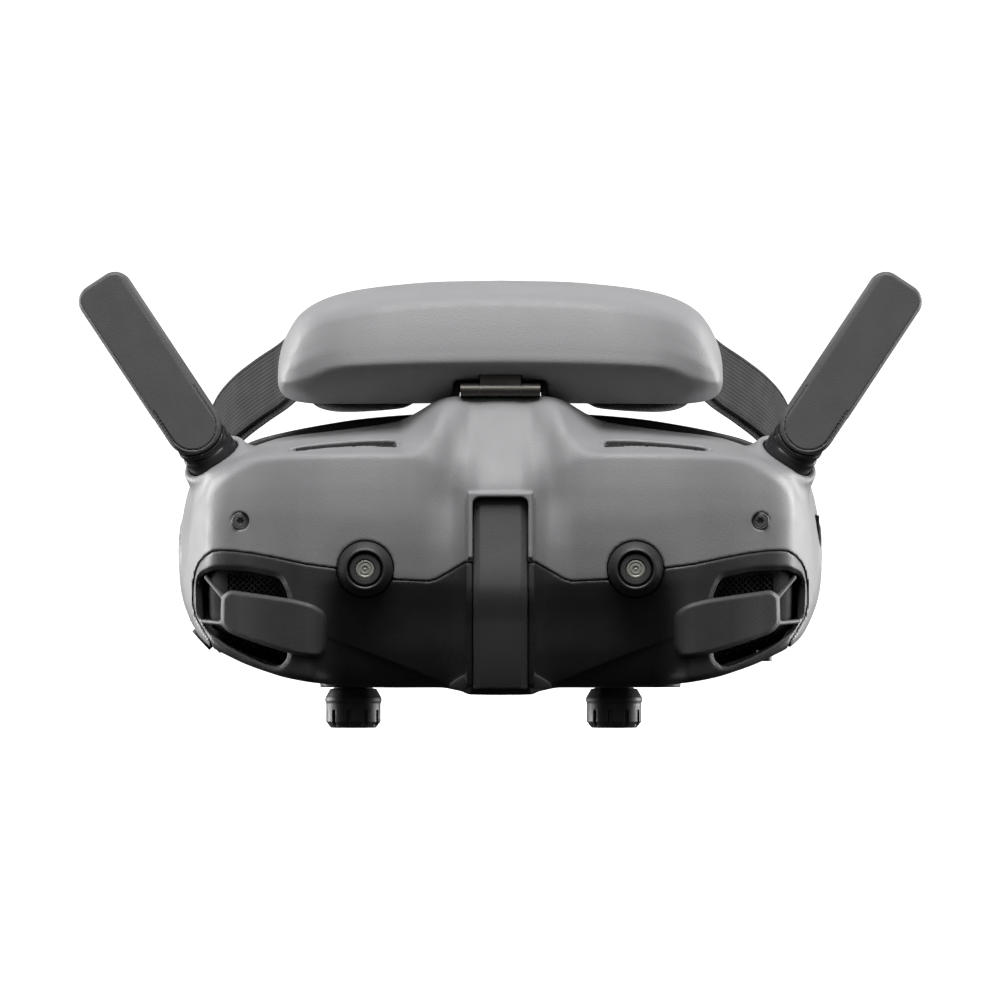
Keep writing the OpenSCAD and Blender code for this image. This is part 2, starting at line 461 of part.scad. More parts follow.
// ---- battery pod behind the head: sector of a ring around PC
PC = 74; // centre of the ring along Y
RI = 92; RO = 118;
module sector(r0, r1, z0, z1, a) translate([0, PC, z0]) rotate([0, 0, 90 - a]) rotate_extrude(angle = 2 * a, $fn = 180)
  translate([r0, 0]) square([r1 - r0, z1 - z0]);
PZ = 15; // height of the pod centre
module battery_shell() color(c_black) difference() {
  sector(RI, RO - 6, PZ - pod_h / 2, PZ + pod_h / 2, 37);
  sector(RI + 2, RO - 5, PZ - pod_h / 2 + 2, PZ + pod_h / 2 - 2, 35.6);
}
module battery_cover() color(c_grey) difference() {
  sector(RO - 5.9, RO, PZ - pod_h / 2, PZ + pod_h / 2, 37);
  sector(RO - 10, RO - 2, PZ - pod_h / 2 + 2, PZ + pod_h / 2 - 2, 35.6);
  translate([0, 170, PZ]) rotate([-90, 0, 0]) cylinder(r = 8.2, h = 40);
  translate([46, 150, PZ]) rotate([-90, 0, -22]) cylinder(r = 4.6, h = 50);
}
module battery_cells() color(c_cell) for (z = [-9, 9]) translate([-27, 177.2, PZ + z]) rotate([0, 90, 0])
  cylinder(r = 7.4, h = 54);
module battery_pad() color(c_foam) difference() {
  sector(RI - 9, RI - 0.2, PZ - pod_h / 2 + 3, PZ + pod_h / 2 - 3, 30);
}
module power_button() color(c_dark) translate([46, 150, PZ]) rotate([-90, 0, -22]) translate([0, 0, 32.2]) cylinder(r = 4.4, h = 4);
module adjust_dial() color(c_dark) translate([0, 0, PZ]) rotate([-90, 0, 0]) difference() {
  union() { translate([0, 0, 189]) cylinder(r = 7.9, h = 3.4); translate([0, 0, 192.3]) cylinder(r = 13, h = 4.4); }
  for (a = [0:15:359]) rotate(a) translate([12.4, -0.6, 190]) cube([3, 1.2, 10]);
}

front_shell();
front_visor();
bottom_cover();
rear_frame();
face_foam();
nose_flap();
nose_bar();
camera_bezel_left();
camera_bezel_right();
camera_modules();
camera_glasses();
vent_plate_left();
vent_plate_right();
vent_meshes();
top_vent_meshes();
housing_screws();
mainboard();
fan_case();
fan_rotor();
guide_rails();
hinge_base();
hinge_pin();
port_block();
port_cover();
control_pod();
joystick_gimbal();
joystick_stem();
joystick_cap();
back_button();
link_button();
lens_carriage_left();
lens_carriage_right();
display_panel_left();
display_panel_right();
focus_pinion_left();
focus_pinion_right();
focus_knob_left();
focus_knob_right();
eyepiece_barrel_left();
eyepiece_barrel_right();
eyepiece_lens_left();
eyepiece_lens_right();
antenna_collar_left();
antenna_collar_right();
antenna_paddle_left();
antenna_paddle_right();
pad_shell();
pad_core();
pad_cushion();
strap_left();
strap_right();
strap_lining();
battery_shell();
battery_cover();
battery_cells();
battery_pad();
power_button();
adjust_dial();
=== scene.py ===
import math

import bpy
import numpy as np
from mathutils import Matrix, Vector


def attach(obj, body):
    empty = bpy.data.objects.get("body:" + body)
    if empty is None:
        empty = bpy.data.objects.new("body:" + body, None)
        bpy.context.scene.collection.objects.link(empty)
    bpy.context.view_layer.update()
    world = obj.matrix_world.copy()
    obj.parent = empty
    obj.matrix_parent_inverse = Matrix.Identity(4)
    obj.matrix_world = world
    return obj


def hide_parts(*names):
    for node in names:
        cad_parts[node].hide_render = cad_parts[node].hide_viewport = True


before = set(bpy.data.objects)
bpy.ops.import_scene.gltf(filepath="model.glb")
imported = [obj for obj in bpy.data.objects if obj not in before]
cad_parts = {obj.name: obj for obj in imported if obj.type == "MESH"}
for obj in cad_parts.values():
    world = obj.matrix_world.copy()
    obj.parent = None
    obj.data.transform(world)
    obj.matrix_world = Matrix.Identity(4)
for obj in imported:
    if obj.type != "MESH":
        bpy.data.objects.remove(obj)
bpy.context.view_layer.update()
F32 = np.float32


# ---------------------------------------------------------------- curves
class Curve:
    """Monotone cubic through a table of (x, value)."""

    def __init__(self, tab):
        a = np.array(tab, float)
        x, y = a[:, 0], a[:, 1]
        h = np.diff(x)
        d = np.diff(y) / h
        m = np.zeros(len(x))
        if len(x) > 2:
            same = d[:-1] * d[1:] > 0
            w1, w2 = 2 * h[1:] + h[:-1], h[1:] + 2 * h[:-1]
            with np.errstate(divide="ignore", invalid="ignore"):
                inner = (w1 + w2) / (w1 / d[:-1] + w2 / d[1:])
            m[1:-1] = np.where(same, inner, 0)
        m[0], m[-1] = d[0], d[-1]
        self.x, self.y, self.h, self.m = x, y, h, m

    def __call__(self, q):
        x, y, h, m = self.x, self.y, self.h, self.m
        q = np.clip(q, x[0], x[-1])
        i = np.clip(np.searchsorted(x, q, side="right") - 1, 0, len(h) - 1)
        t = (q - x[i]) / h[i]
        t2, t3 = t * t, t * t * t
        return (
            (2 * t3 - 3 * t2 + 1) * y[i]
            + (t3 - 2 * t2 + t) * h[i] * m[i]
            + (3 * t2 - 2 * t3) * y[i + 1]
            + (t3 - t2) * h[i] * m[i + 1]
        ).astype(F32)


def mix(a, b, t):
    return a + (b - a) * t


def smax(a, b, k):
    h = np.clip(0.5 + 0.5 * (a - b) / k, 0, 1)
    return b + (a - b) * h + k * h * (1 - h)


def smin(a, b, k):
    return -smax(-a, -b, k)


def smooth(t):
    t = np.clip(t, 0, 1)
    return t * t * (3 - 2 * t)


def box3(x, y, z, c, s, r=0.0):
    """Rounded box: centre c, half size s."""
    qx = np.abs(x - c[0]) - s[0] + r
    qy = np.abs(y - c[1]) - s[1] + r
    qz = np.abs(z - c[2]) - s[2] + r
    out = np.sqrt(
        np.maximum(qx, 0) ** 2 + np.maximum(qy, 0) ** 2 + np.maximum(qz, 0) ** 2
    )
    return out + np.minimum(np.maximum(qx, np.maximum(qy, qz)), 0) - r


def capsule(x, y, z, a, b, r):
    a, b = np.array(a, float), np.array(b, float)
    d = b - a
    t = np.clip(
        ((x - a[0]) * d[0] + (y - a[1]) * d[1] + (z - a[2]) * d[2]) / (d @ d), 0, 1
    )
    return (
        np.sqrt(
            (x - a[0] - t * d[0]) ** 2
            + (y - a[1] - t * d[1]) ** 2
            + (z - a[2] - t * d[2]) ** 2
        )
        - r
    )


def axis_frame(axis):
    w = np.array(axis, float)
    w /= np.linalg.norm(w)
    u = np.cross([0, 1, 0] if abs(w[1]) < 0.8 else [1, 0, 0], w)
    u /= np.linalg.norm(u)
    return u, np.cross(w, u), w


def local(x, y, z, o, axes):
    """Coordinates in the frame at o with the given axes."""
    dx, dy, dz = x - o[0], y - o[1], z - o[2]
    return [dx * a[0] + dy * a[1] + dz * a[2] for a in axes]


def cyl(x, y, z, o, axis, r, s0, s1, k=0.0):
    """Cylinder from s0 to s1 along axis, edges rounded by k."""
    u, v, w = local(x, y, z, o, axis_frame(axis))
    rad = np.sqrt(u * u + v * v) - r
    cap = np.abs(w - (s0 + s1) / 2) - (s1 - s0) / 2
    if k:
        a, b = rad + k, cap + k
        return (
            np.sqrt(np.maximum(a, 0) ** 2 + np.maximum(b, 0) ** 2)
            + np.minimum(np.maximum(a, b), 0)
            - k
        )
    return np.maximum(rad, cap)


def poly2(px, pz, pts):
    """Signed distance to a closed outline, negative inside."""
    pts = np.array(pts, float)
    best = None
    inside = None
    n = len(pts)
    for i in range(n):
        a, b = pts[i], pts[(i + 1) % n]
        e = b - a
        wx, wz = px - a[0], pz - a[1]
        t = np.clip((wx * e[0] + wz * e[1]) / max(e @ e, 1e-9), 0, 1)
        d = (wx - e[0] * t) ** 2 + (wz - e[1] * t) ** 2
        best = d if best is None else np.minimum(best, d)
        c = ((a[1] <= pz) & (b[1] > pz)) | ((b[1] <= pz) & (a[1] > pz))
        if b[1] != a[1]:
            cross = c & (px < a[0] + (pz - a[1]) * (b[0] - a[0]) / (b[1] - a[1]))
        else:
            cross = c & False
        inside = cross if inside is None else inside ^ cross
    return np.where(inside, -1.0, 1.0).astype(F32) * np.sqrt(best).astype(F32)


def rounded(pts, r, n=5):
    """Outline with every corner turned into an arc of about radius r."""
    pts = [np.array(p, float) for p in pts]
    out = []
    for i, p in enumerate(pts):
        a, b = pts[i - 1] - p, pts[(i + 1) % len(pts)] - p
        la, lb = np.linalg.norm(a), np.linalg.norm(b)
        k = min(r, 0.45 * la, 0.45 * lb)
        s, e = p + a / la * k, p + b / lb * k
        for t in np.linspace(0, 1, n):
            out.append((1 - t) ** 2 * s + 2 * t * (1 - t) * p + t * t * e)
    return np.array(out)


# ---------------------------------------------------------------- meshing
EDGES = [(a, b) for a in range(8) for b in range(a + 1, 8) if bin(a ^ b).count("1") == 1]
CORNER = [((a >> 2) & 1, (a >> 1) & 1, a & 1) for a in range(8)]


def nets(f, lo, hi, h, settle=2):
    """Surface nets of f < 0 in the box lo..hi, in mm, then moved onto the surface."""
    ax = [
        np.arange(lo[i] - 2 * h, hi[i] + 2.5 * h, h).astype(F32) for i in range(3)
    ]
    shape = tuple(len(a) for a in ax)
    P = np.empty(shape, F32)
    step = max(1, int(1.6e6 / (shape[1] * shape[2])))
    for i in range(0, shape[0], step):
        X = ax[0][i : i + step, None, None]
        P[i : i + step] = f(X, ax[1][None, :, None], ax[2][None, None, :])
    P[0], P[-1], P[:, 0], P[:, -1], P[:, :, 0], P[:, :, -1] = (h,) * 6
    S = P < 0
    n = np.zeros(tuple(s - 1 for s in shape), np.uint8)
    for i, j, k in CORNER:
        n += S[
            i : shape[0] - 1 + i, j : shape[1] - 1 + j, k : shape[2] - 1 + k
        ]
    act = (n > 0) & (n < 8)
    ids = np.argwhere(act)
    index = np.full(act.shape, -1, np.int32)
    index[act] = np.arange(len(ids), dtype=np.int32)
    V = [P[ids[:, 0] + i, ids[:, 1] + j, ids[:, 2] + k] for i, j, k in CORNER]
    pos = np.zeros((len(ids), 3))
    cnt = np.zeros(len(ids))
    for a, b in EDGES:
        va, vb = V[a], V[b]
        m = (va < 0) != (vb < 0)
        t = np.where(m, va / np.where(m, va - vb, 1), 0)
        ca, cb = np.array(CORNER[a], float), np.array(CORNER[b], float)
        pos += (ca + t[:, None] * (cb - ca)) * m[:, None]
        cnt += m
    org = np.array([a[0] for a in ax], float)
    verts = (ids + pos / cnt[:, None]) * h + org
    quads = []
    for axis in range(3):
        o1, o2 = (axis + 1) % 3, (axis + 2) % 3
        sl0 = [slice(1, -1)] * 3
        sl1 = [slice(1, -1)] * 3
        sl0[axis], sl1[axis] = slice(None, -1), slice(1, None)
        A, Bm = S[tuple(sl0)], S[tuple(sl1)]
        e = np.argwhere(A != Bm)
        if not len(e):
            continue
        flip = ~A[e[:, 0], e[:, 1], e[:, 2]]
        e[:, o1] += 1
        e[:, o2] += 1
        c = []
        for d1, d2 in ((-1, -1), (0, -1), (0, 0), (-1, 0)):
            q = e.copy()
            q[:, o1] += d1
            q[:, o2] += d2
            c.append(index[q[:, 0], q[:, 1], q[:, 2]])
        q = np.stack(c, 1)
        q[flip] = q[flip][:, ::-1]
        quads.append(q)
    quads = np.concatenate(quads)
    p = verts.astype(np.float64)
    e = 0.2 * h
    for _ in range(settle):
        g = np.zeros_like(p)
        for a in range(3):
            q1, q0 = p.copy(), p.copy()
            q1[:, a] += e
            q0[:, a] -= e
            g[:, a] = (f(*q1.T) - f(*q0.T)) / (2 * e)
        v = f(*p.T)
        n2 = np.maximum((g * g).sum(1), 0.04)
        d = -(v / n2)[:, None] * g
        ln = np.linalg.norm(d, axis=1, keepdims=True)
        p += d * np.minimum(1, 0.45 * h / np.maximum(ln, 1e-9))
    return tidy(p, quads)


def tidy(p, quads, least=60):
    """Drops loose crumbs smaller than `least` points."""
    lab = np.arange(len(p))
    while True:
        m = lab[quads].min(1)
        new = lab.copy()
        for c in range(4):
            np.minimum.at(new, quads[:, c], m)
        new = new[new]
        if (new == lab).all():
            break
        lab = new
    ids, inv, cnt = np.unique(lab, return_inverse=True, return_counts=True)
    keep = cnt[inv] >= least
    quads = quads[keep[quads[:, 0]]]
    used = np.zeros(len(p), bool)
    used[quads] = True
    re = np.cumsum(used) - 1
    return p[used], re[quads]


def mesh(name, p, faces, sharp=None):
    """Object from points in mm and faces, smooth shaded."""
    me = bpy.data.meshes.new(name)
    p = np.asarray(p, float) * 0.001
    if isinstance(faces, np.ndarray):
        k = faces.shape[1]
        me.vertices.add(len(p))
        me.vertices.foreach_set("co", p.astype(F32).ravel())
        me.loops.add(faces.size)
        me.loops.foreach_set("vertex_index", faces.astype(np.int32).ravel())
        me.polygons.add(len(faces))
        me.polygons.foreach_set("loop_start", np.arange(0, faces.size, k, dtype=np.int32))
    else:
        me.from_pydata(p.tolist(), [], faces)
    me.update(calc_edges=True)
    me.validate()
    me.polygons.foreach_set("use_smooth", np.ones(len(me.polygons), bool))
    if sharp:
        me.set_sharp_from_angle(angle=math.radians(sharp))
    me.update()
    o = bpy.data.objects.new(name, me)
    bpy.context.scene.collection.objects.link(o)
    return o


def piece(name, f, lo, hi, h, sharp=38, mirror=False):
    k = 1.0
    p, q = nets(f, lo, hi, h * k)
    if mirror:
        p = p * [-1, 1, 1]
        q = q[:, ::-1]
    return mesh(name, p, np.ascontiguousarray(q), sharp)


def lathe(name, prof, centre, axis, n=96, sharp=30):
    """Closed turned piece from (radius, height) points; the ends lie on the axis."""
    u, v, w = axis_frame(axis)
    a = np.linspace(0, 2 * math.pi, n, endpoint=False)
    pts, faces, rings = [], [], []
    for r, s in prof:
        if r < 1e-6:
            rings.append([len(pts)])
            pts.append(np.array(centre) + w * s)
        else:
            rings.append(list(range(len(pts), len(pts) + n)))
            for t in a:
                pts.append(
                    np.array(centre) + w * s + r * (math.cos(t) * u + math.sin(t) * v)
                )
    closed = prof[0][0] > 1e-6
    pairs = list(zip(rings, rings[1:])) + ([(rings[-1], rings[0])] if closed else [])
    for A, Bq in pairs:
        for i in range(n):
            j = (i + 1) % n
            if len(A) == 1 and len(Bq) == 1:
                continue
            if len(A) == 1:
                faces.append([A[0], Bq[j], Bq[i]])
            elif len(Bq) == 1:
                faces.append([A[i], A[j], Bq[0]])
            else:
                faces.append([A[i], A[j], Bq[j], Bq[i]])
    o = mesh(name, pts, faces, sharp)
    return facing_out(o)


def facing_out(o):
    """Turns all faces outward if the enclosed volume is negative."""
    me = o.data
    me.calc_loop_triangles()
    co = np.zeros(len(me.vertices) * 3)
    me.vertices.foreach_get("co", co)
    co = co.reshape(-1, 3)
    t = np.zeros(len(me.loop_triangles) * 3, np.int32)
    me.loop_triangles.foreach_get("vertices", t)
    t = t.reshape(-1, 3)
    vol = np.einsum("ij,ij->i", co[t[:, 0]], np.cross(co[t[:, 1]], co[t[:, 2]])).sum()
    if vol < 0:
        me.flip_normals()
    return o


def sweep(name, frames, sec, sharp=None):
    """Closed solid through frames (point, across, out) with the section (across, out)."""
    m = len(sec)
    pts, faces = [], []
    for c, a, b in frames:
        for s in sec:
            pts.append(c + a * s[0] + b * s[1])
    n = len(frames)
    for i in range(n - 1):
        for j in range(m):
            k = (j + 1) % m
            faces.append([i * m + j, i * m + k, (i + 1) * m + k, (i + 1) * m + j])
    faces.append(list(range(m))[::-1])
    faces.append([(n - 1) * m + j for j in range(m)])
    return facing_out(mesh(name, pts, faces, sharp))


# ---------------------------------------------------------------- materials
def material(name, base, rough=0.5, grain=0.0, size=0.3, var=0.04, metal=0.0, coat=0.0,
             spec=0.5, edge_highlight=0.0, sheen=0.0, big=0.0):
    """Moulded or painted surface: base colour with faint mottling, fine grain and a painted highlight that lightens
    convex edges.
    """
    m = bpy.data.materials.new(name)
    m.use_nodes = True
    nt = m.node_tree
    N, L = nt.nodes, nt.links
    b = N["Principled BSDF"]
    b.inputs["Metallic"].default_value = metal
    b.inputs["Specular IOR Level"].default_value = spec
    if coat:
        b.inputs["Coat Weight"].default_value = coat
        b.inputs["Coat Roughness"].default_value = 0.25
    if sheen:
        b.inputs["Sheen Weight"].default_value = sheen
        b.inputs["Sheen Roughness"].default_value = 0.5
    tc = N.new("ShaderNodeTexCoord")
    n1 = N.new("ShaderNodeTexNoise")
    n1.inputs["Scale"].default_value = 140
    n1.inputs["Detail"].default_value = 3
    L.new(tc.outputs["Object"], n1.inputs["Vector"])
    r1 = N.new("ShaderNodeMapRange")
    r1.inputs["From Min"].default_value = 0.3
    r1.inputs["From Max"].default_value = 0.7
    r1.inputs["To Min"].default_value = 1 - var
    r1.inputs["To Max"].default_value = 1 + var
    L.new(n1.outputs["Fac"], r1.inputs["Value"])
    col = N.new("ShaderNodeVectorMath")
    col.operation = "SCALE"
    col.inputs[0].default_value = base
    L.new(r1.outputs["Result"], col.inputs["Scale"])
    out = col.outputs["Vector"]
    # painted edge highlight: convex edges, found by pointiness, are mixed toward a lighter colour
    if edge_highlight:
        g = N.new("ShaderNodeNewGeometry")
        edge_lit = N.new("ShaderNodeMapRange")
        edge_lit.inputs["From Min"].default_value = 0.53
        edge_lit.inputs["From Max"].default_value = 0.62
        edge_lit.inputs["To Max"].default_value = edge_highlight
        L.new(g.outputs["Pointiness"], edge_lit.inputs["Value"])
        mx = N.new("ShaderNodeMix")
        mx.data_type = "RGBA"
        L.new(edge_lit.outputs["Result"], mx.inputs["Factor"])
        L.new(out, mx.inputs["A"])
        mx.inputs["B"].default_value = tuple(min(1, c * 1.7 + 0.03) for c in base) + (1,)
        out = mx.outputs["Result"]
    L.new(out, b.inputs["Base Color"])
    n2 = N.new("ShaderNodeTexNoise")
    n2.inputs["Scale"].default_value = 1000 / size
    n2.inputs["Detail"].default_value = 2
    L.new(tc.outputs["Object"], n2.inputs["Vector"])
    rr = N.new("ShaderNodeMapRange")
    rr.inputs["From Min"].default_value = 0.3
    rr.inputs["From Max"].default_value = 0.7
    rr.inputs["To Min"].default_value = max(0.03, rough - 0.06)
    rr.inputs["To Max"].default_value = min(1, rough + 0.06)
    L.new(n1.outputs["Fac"], rr.inputs["Value"])
    L.new(rr.outputs["Result"], b.inputs["Roughness"])
    if grain:
        bp = N.new("ShaderNodeBump")
        bp.inputs["Strength"].default_value = grain
        bp.inputs["Distance"].default_value = size * 0.0004
        height = n2.outputs["Fac"]
        if big:
            vo = N.new("ShaderNodeTexVoronoi")
            vo.inputs["Scale"].default_value = 1000 / big
            L.new(tc.outputs["Object"], vo.inputs["Vector"])
            ad = N.new("ShaderNodeMath")
            ad.operation = "ADD"
            L.new(height, ad.inputs[0])
            L.new(vo.outputs["Distance"], ad.inputs[1])
            height = ad.outputs[0]
        L.new(height, bp.inputs["Height"])
        L.new(bp.outputs["Normal"], b.inputs["Normal"])
    return m


def fabric(name, base, pitch=0.9, depth=0.5, light=1.6, sheen=0.35, knit=False):
    """Woven or knitted cloth: two crossing sets of threads in colour and relief."""
    m = material(name, base, rough=0.85, sheen=sheen, spec=0.25, var=0.12)
    nt = m.node_tree
    N, L = nt.nodes, nt.links
    b = N["Principled BSDF"]
    tc = N.new("ShaderNodeTexCoord")
    waves = []
    for i, d in enumerate(("X", "Z") if not knit else ("X", "Y", "Z")):
        w = N.new("ShaderNodeTexWave")
        w.wave_type = "BANDS"
        w.bands_direction = d
        w.inputs["Scale"].default_value = 1000 / pitch / 3.2
        w.inputs["Distortion"].default_value = 1.2
        w.inputs["Detail"].default_value = 1.5
        w.inputs["Detail Scale"].default_value = 4
        L.new(tc.outputs["Object"], w.inputs["Vector"])
        waves.append(w.outputs["Fac"])
    cur = waves[0]
    for w in waves[1:]:
        ml = N.new("ShaderNodeMath")
        ml.operation = "MULTIPLY"
        L.new(cur, ml.inputs[0])
        L.new(w, ml.inputs[1])
        cur = ml.outputs[0]
    bp = N.new("ShaderNodeBump")
    bp.inputs["Strength"].default_value = depth
    bp.inputs["Distance"].default_value = 0.0003
    L.new(cur, bp.inputs["Height"])
    L.new(bp.outputs["Normal"], b.inputs["Normal"])
    src = b.inputs["Base Color"].links[0].from_socket
    mx = N.new("ShaderNodeMix")
    mx.data_type = "RGBA"
    L.new(cur, mx.inputs["Factor"])
    L.new(src, mx.inputs["A"])
    mx.inputs["B"].default_value = tuple(min(1, c * light) for c in base) + (1,)
    L.new(mx.outputs["Result"], b.inputs["Base Color"])
    return m


def glassy(name, base, rough=0.05):
    m = material(name, base, rough=rough, coat=1.0, spec=0.7, var=0.02)
    m.node_tree.nodes["Principled BSDF"].inputs["Coat Roughness"].default_value = 0.03
    return m


GREY = material("grey_shell", (0.27, 0.27, 0.277), rough=0.5, grain=0.45, size=0.4, var=0.015, edge_highlight=0.12)
BLACK = material("black_shell", (0.038, 0.038, 0.039), rough=0.46, grain=0.4, size=0.4, var=0.05, edge_highlight=0.1)
DARK = material("dark_plastic", (0.05, 0.05, 0.052), rough=0.55, grain=0.6, size=0.28, var=0.03, edge_highlight=0.2)
PADDLE = material("paddle_plastic", (0.1, 0.1, 0.103), rough=0.52, grain=0.55, size=0.28, var=0.03, edge_highlight=0.25)
COLLAR = material("collar_plastic", (0.022, 0.022, 0.024), rough=0.36, grain=0.2, size=0.3, edge_highlight=0.3)
GLOSSY = material("gloss_plastic", (0.012, 0.012, 0.013), rough=0.16, grain=0.0, coat=0.6)
KNOB = material("knob_plastic", (0.07, 0.07, 0.073), rough=0.45, grain=0.4, size=0.3, edge_highlight=0.35)
RUBBER = material("rubber", (0.02, 0.02, 0.021), rough=0.72, grain=0.3, size=0.25, var=0.1)
METAL = material("hinge_metal", (0.085, 0.08, 0.07), rough=0.42, grain=0.15, size=0.25, metal=0.8, edge_highlight=0.2)
STEEL = material("steel", (0.55, 0.56, 0.58), rough=0.3, grain=0.1, size=0.2, metal=1.0)
BOARD = material("board", (0.012, 0.09, 0.045), rough=0.4, grain=0.3, size=0.8, coat=0.4, var=0.2)
PANEL = glassy("panel", (0.01, 0.012, 0.016), 0.08)
CELL = material("cell", (0.05, 0.14, 0.42), rough=0.35, grain=0.1, size=0.5, coat=0.3)
# black vent mesh, its colour set darker than the other black plastics as painted shade in the deep vents
MESH_BLACK_SHADED = material("mesh_black_painted_shade", (0.009, 0.009, 0.0095), rough=0.7, grain=0.2, size=0.2, spec=0.1)
SLOTM = material("slot_black", (0.03, 0.03, 0.031), rough=0.55, grain=0.2, size=0.2)
FOAM = fabric("foam", (0.02, 0.02, 0.022), pitch=1.1, depth=0.6, light=1.8, knit=True)
LINING = fabric("lining", (0.018, 0.018, 0.019), pitch=0.8, depth=0.5, light=1.5)
WEB = material("webbing", (0.02, 0.02, 0.021), rough=0.8, grain=0.5, size=0.3, var=0.1, spec=0.2, sheen=0.05)
EYEGLASS = glassy("eye_glass", (0.02, 0.028, 0.034), 0.03)


def fit(o, m, slot, body, *nodes):
    """Gives a piece its material, its body and the CAD nodes it stands for."""
    o.data.materials.clear()
    o.data.materials.append(m)
    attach(o, body)
    if nodes:
        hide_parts(*nodes)
    return o


def paint(node, m):
    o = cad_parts[node]
    o.data.materials.clear()
    o.data.materials.append(m)


# ---------------------------------------------------------------- housing
TOP = Curve([[0, 45.75], [11, 45.75], [13.4, 45.5], [17, 44.5], [20.5, 42.5], [23.5, 40.9], [27, 39.5], [32.5, 38.4],
             [44, 36.8], [58, 35], [66, 32.6], [72, 30.8], [78.4, 28.2], [81.6, 25], [83.9, 21], [85.2, 17], [85.8, 12.5]])
BOT = Curve([[0, -32.8], [8, -32.7], [11, -32], [16, -31.2], [27, -31.2], [44, -30.3], [52, -29.2], [57, -28.2],
             [61, -27], [67, -24.9], [72, -22.6], [76.4, -20.3], [79.4, -17.8], [81.2, -15.2], [83, -11.6], [84.5, -7.6], [85.5, -2.5], [85.9, 3]])
CRE = Curve([[0, 32], [10, 31.6], [16, 31.1], [24, 31], [33, 31], [46, 30.7], [58, 30.2],
             [66, 29], [72, 27], [78, 23.6], [82, 19], [85, 10]])
FRO = Curve([[0, -76.6], [5, -76.3], [9, -74.6], [13.5, -72.8], [18, -73], [23, -74.6], [29, -76.4], [36, -77.2],
             [44, -76.7], [52, -74.5], [60, -70.6], [68, -65.4], [75, -60], [77, -57.4], [78.7, -53], [80.5, -47.8], [82.3, -42], [84, -36], [85.7, -29]])
FRT = Curve([[0, -74.6], [10, -74.4], [18, -74.4], [24, -75.2], [30, -76.5], [36, -77.2], [44, -76.7], [52, -74.5], [60, -70.6],
             [68, -65.4], [75, -60], [77, -57.4], [78.7, -53], [80.5, -47.8], [82.3, -42], [84, -36], [85.7, -29]])
GUP = Curve([[-0.4, 9.0], [-0.1, 3.3], [0, 2.1], [0.08, 1.15], [0.17, 0.4], [0.276, 0], [2.0, 0]])
GLO = Curve([[-1.0, 0], [0.276, 0], [0.37, 0.35], [0.455, 1.0], [0.54, 1.9], [0.6, 3.5], [0.66, 5.4], [0.75, 8.4], [0.85, 11.8],
             [0.93, 14.8], [1.0, 18.5], [1.08, 24]])
SH = Curve([[-3, 1.12], [0, 1.05], [3, 0.95], [6, 0.82], [11, 0.6], [22, 0.28], [34, 0.1], [50, 0]])
HALF = 85.6


def h_top(u, y):
    t = (y - FRT(u) - 2) * (1 + 2.6 * smooth((27 - u) / 17))
    return mix(TOP(u), np.minimum(CRE(u), TOP(u) - 1.0), SH(t))


def h_front(u, z):
    c, b = CRE(u), BOT(u)
    v = (c - z) / np.maximum(c - b, 6)
    # scoops under the cameras, fuller at the nose and round the vents
    full = 1 - 0.42 * np.exp(-((u / 13) ** 2)) - 0.88 * smooth((u - 40) / 11)
    base = FRO(u) + GUP(v) + GLO(v) * full
    # nose ridge leans back above the bar
    base = base + 0.272 * (z - 22 + np.sqrt((z - 22) ** 2 + 9)) * smooth((18 - u) / 13)
    # shallow sockets between the nose ridge and the cameras
    base = base + 2.0 * np.exp(-(((u - 13.5) / 5) ** 2) - ((z - 18) / 9) ** 2)
    return base


def housing(x, y, z):
    """Distance to the outside of the housing, in mm."""
    u = np.abs(x)
    e = F32(0.3)
    up, um = u + e, np.abs(u - e)
    t = h_top(u, y)
    tu = (h_top(up, y) - h_top(um, y)) / (2 * e)
    ty = (h_top(u, y + e) - h_top(u, y - e)) / (2 * e)
    top = (z - t) / np.sqrt(1 + tu * tu + ty * ty)
    f = h_front(u, z)
    fu = (h_front(up, z) - h_front(um, z)) / (2 * e)
    fz = (h_front(u, z + e) - h_front(u, z - e)) / (2 * e)
    front = (f - y) / np.sqrt(1 + fu * fu + fz * fz)
    b = BOT(u)
    bu = (BOT(up) - BOT(um)) / (2 * e)
    bot = (b - z) / np.sqrt(1 + bu * bu)
    # crisper crease over the cameras, softer at the nose and the outer corners
    r = smax(top, front, 1.5 + 3.0 * smooth((u - 62) / 16) + 2.5 * smooth((24 - u) / 12) * smooth((u - 4) / 10))
    r = smax(r, bot, 2.4)
    return smax(r, u - HALF, 0.8)


PART = [[0, 2.9], [7.6, 2.9], [9.4, 1.9], [16.8, -2.4], [18.6, -2.9], [27.7, -2.5], [35.4, -1], [43, 0.5], [51, 1.6],
        [58.6, 3.2], [65, 4.4], [70, 5], [73.4, 5.2], [75.6, 4.9], [77.6, 3.7], [79.2, 2], [80.2, 0.1], [80.9, -3],
        [81.2, -6], [81.2, -9], [80.3, -12.6], [78.2, -16], [76.4, -18.6], [75.8, -20.5], [75.6, -60]]


def part2(x, z):
    """Negative inside the black region."""
    return poly2(np.abs(x), z, [[-20, 2.9]] + PART + [[-20, -60]])


VENT = rounded([[-78.6, -1.4], [-75.4, 0.1], [-66, -0.2], [-57.8, -1.9], [-55.6, -6.5], [-55.8, -23.4], [-58, -25.4], [-61.4, -24.9],
                [-66.5, -22.6], [-72, -19.8], [-77.4, -16], [-79.4, -12], [-79.9, -7.4], [-79.4, -3.4]], 1.6)


def vent2(x, z):
    return poly2(-np.abs(x), z, VENT)


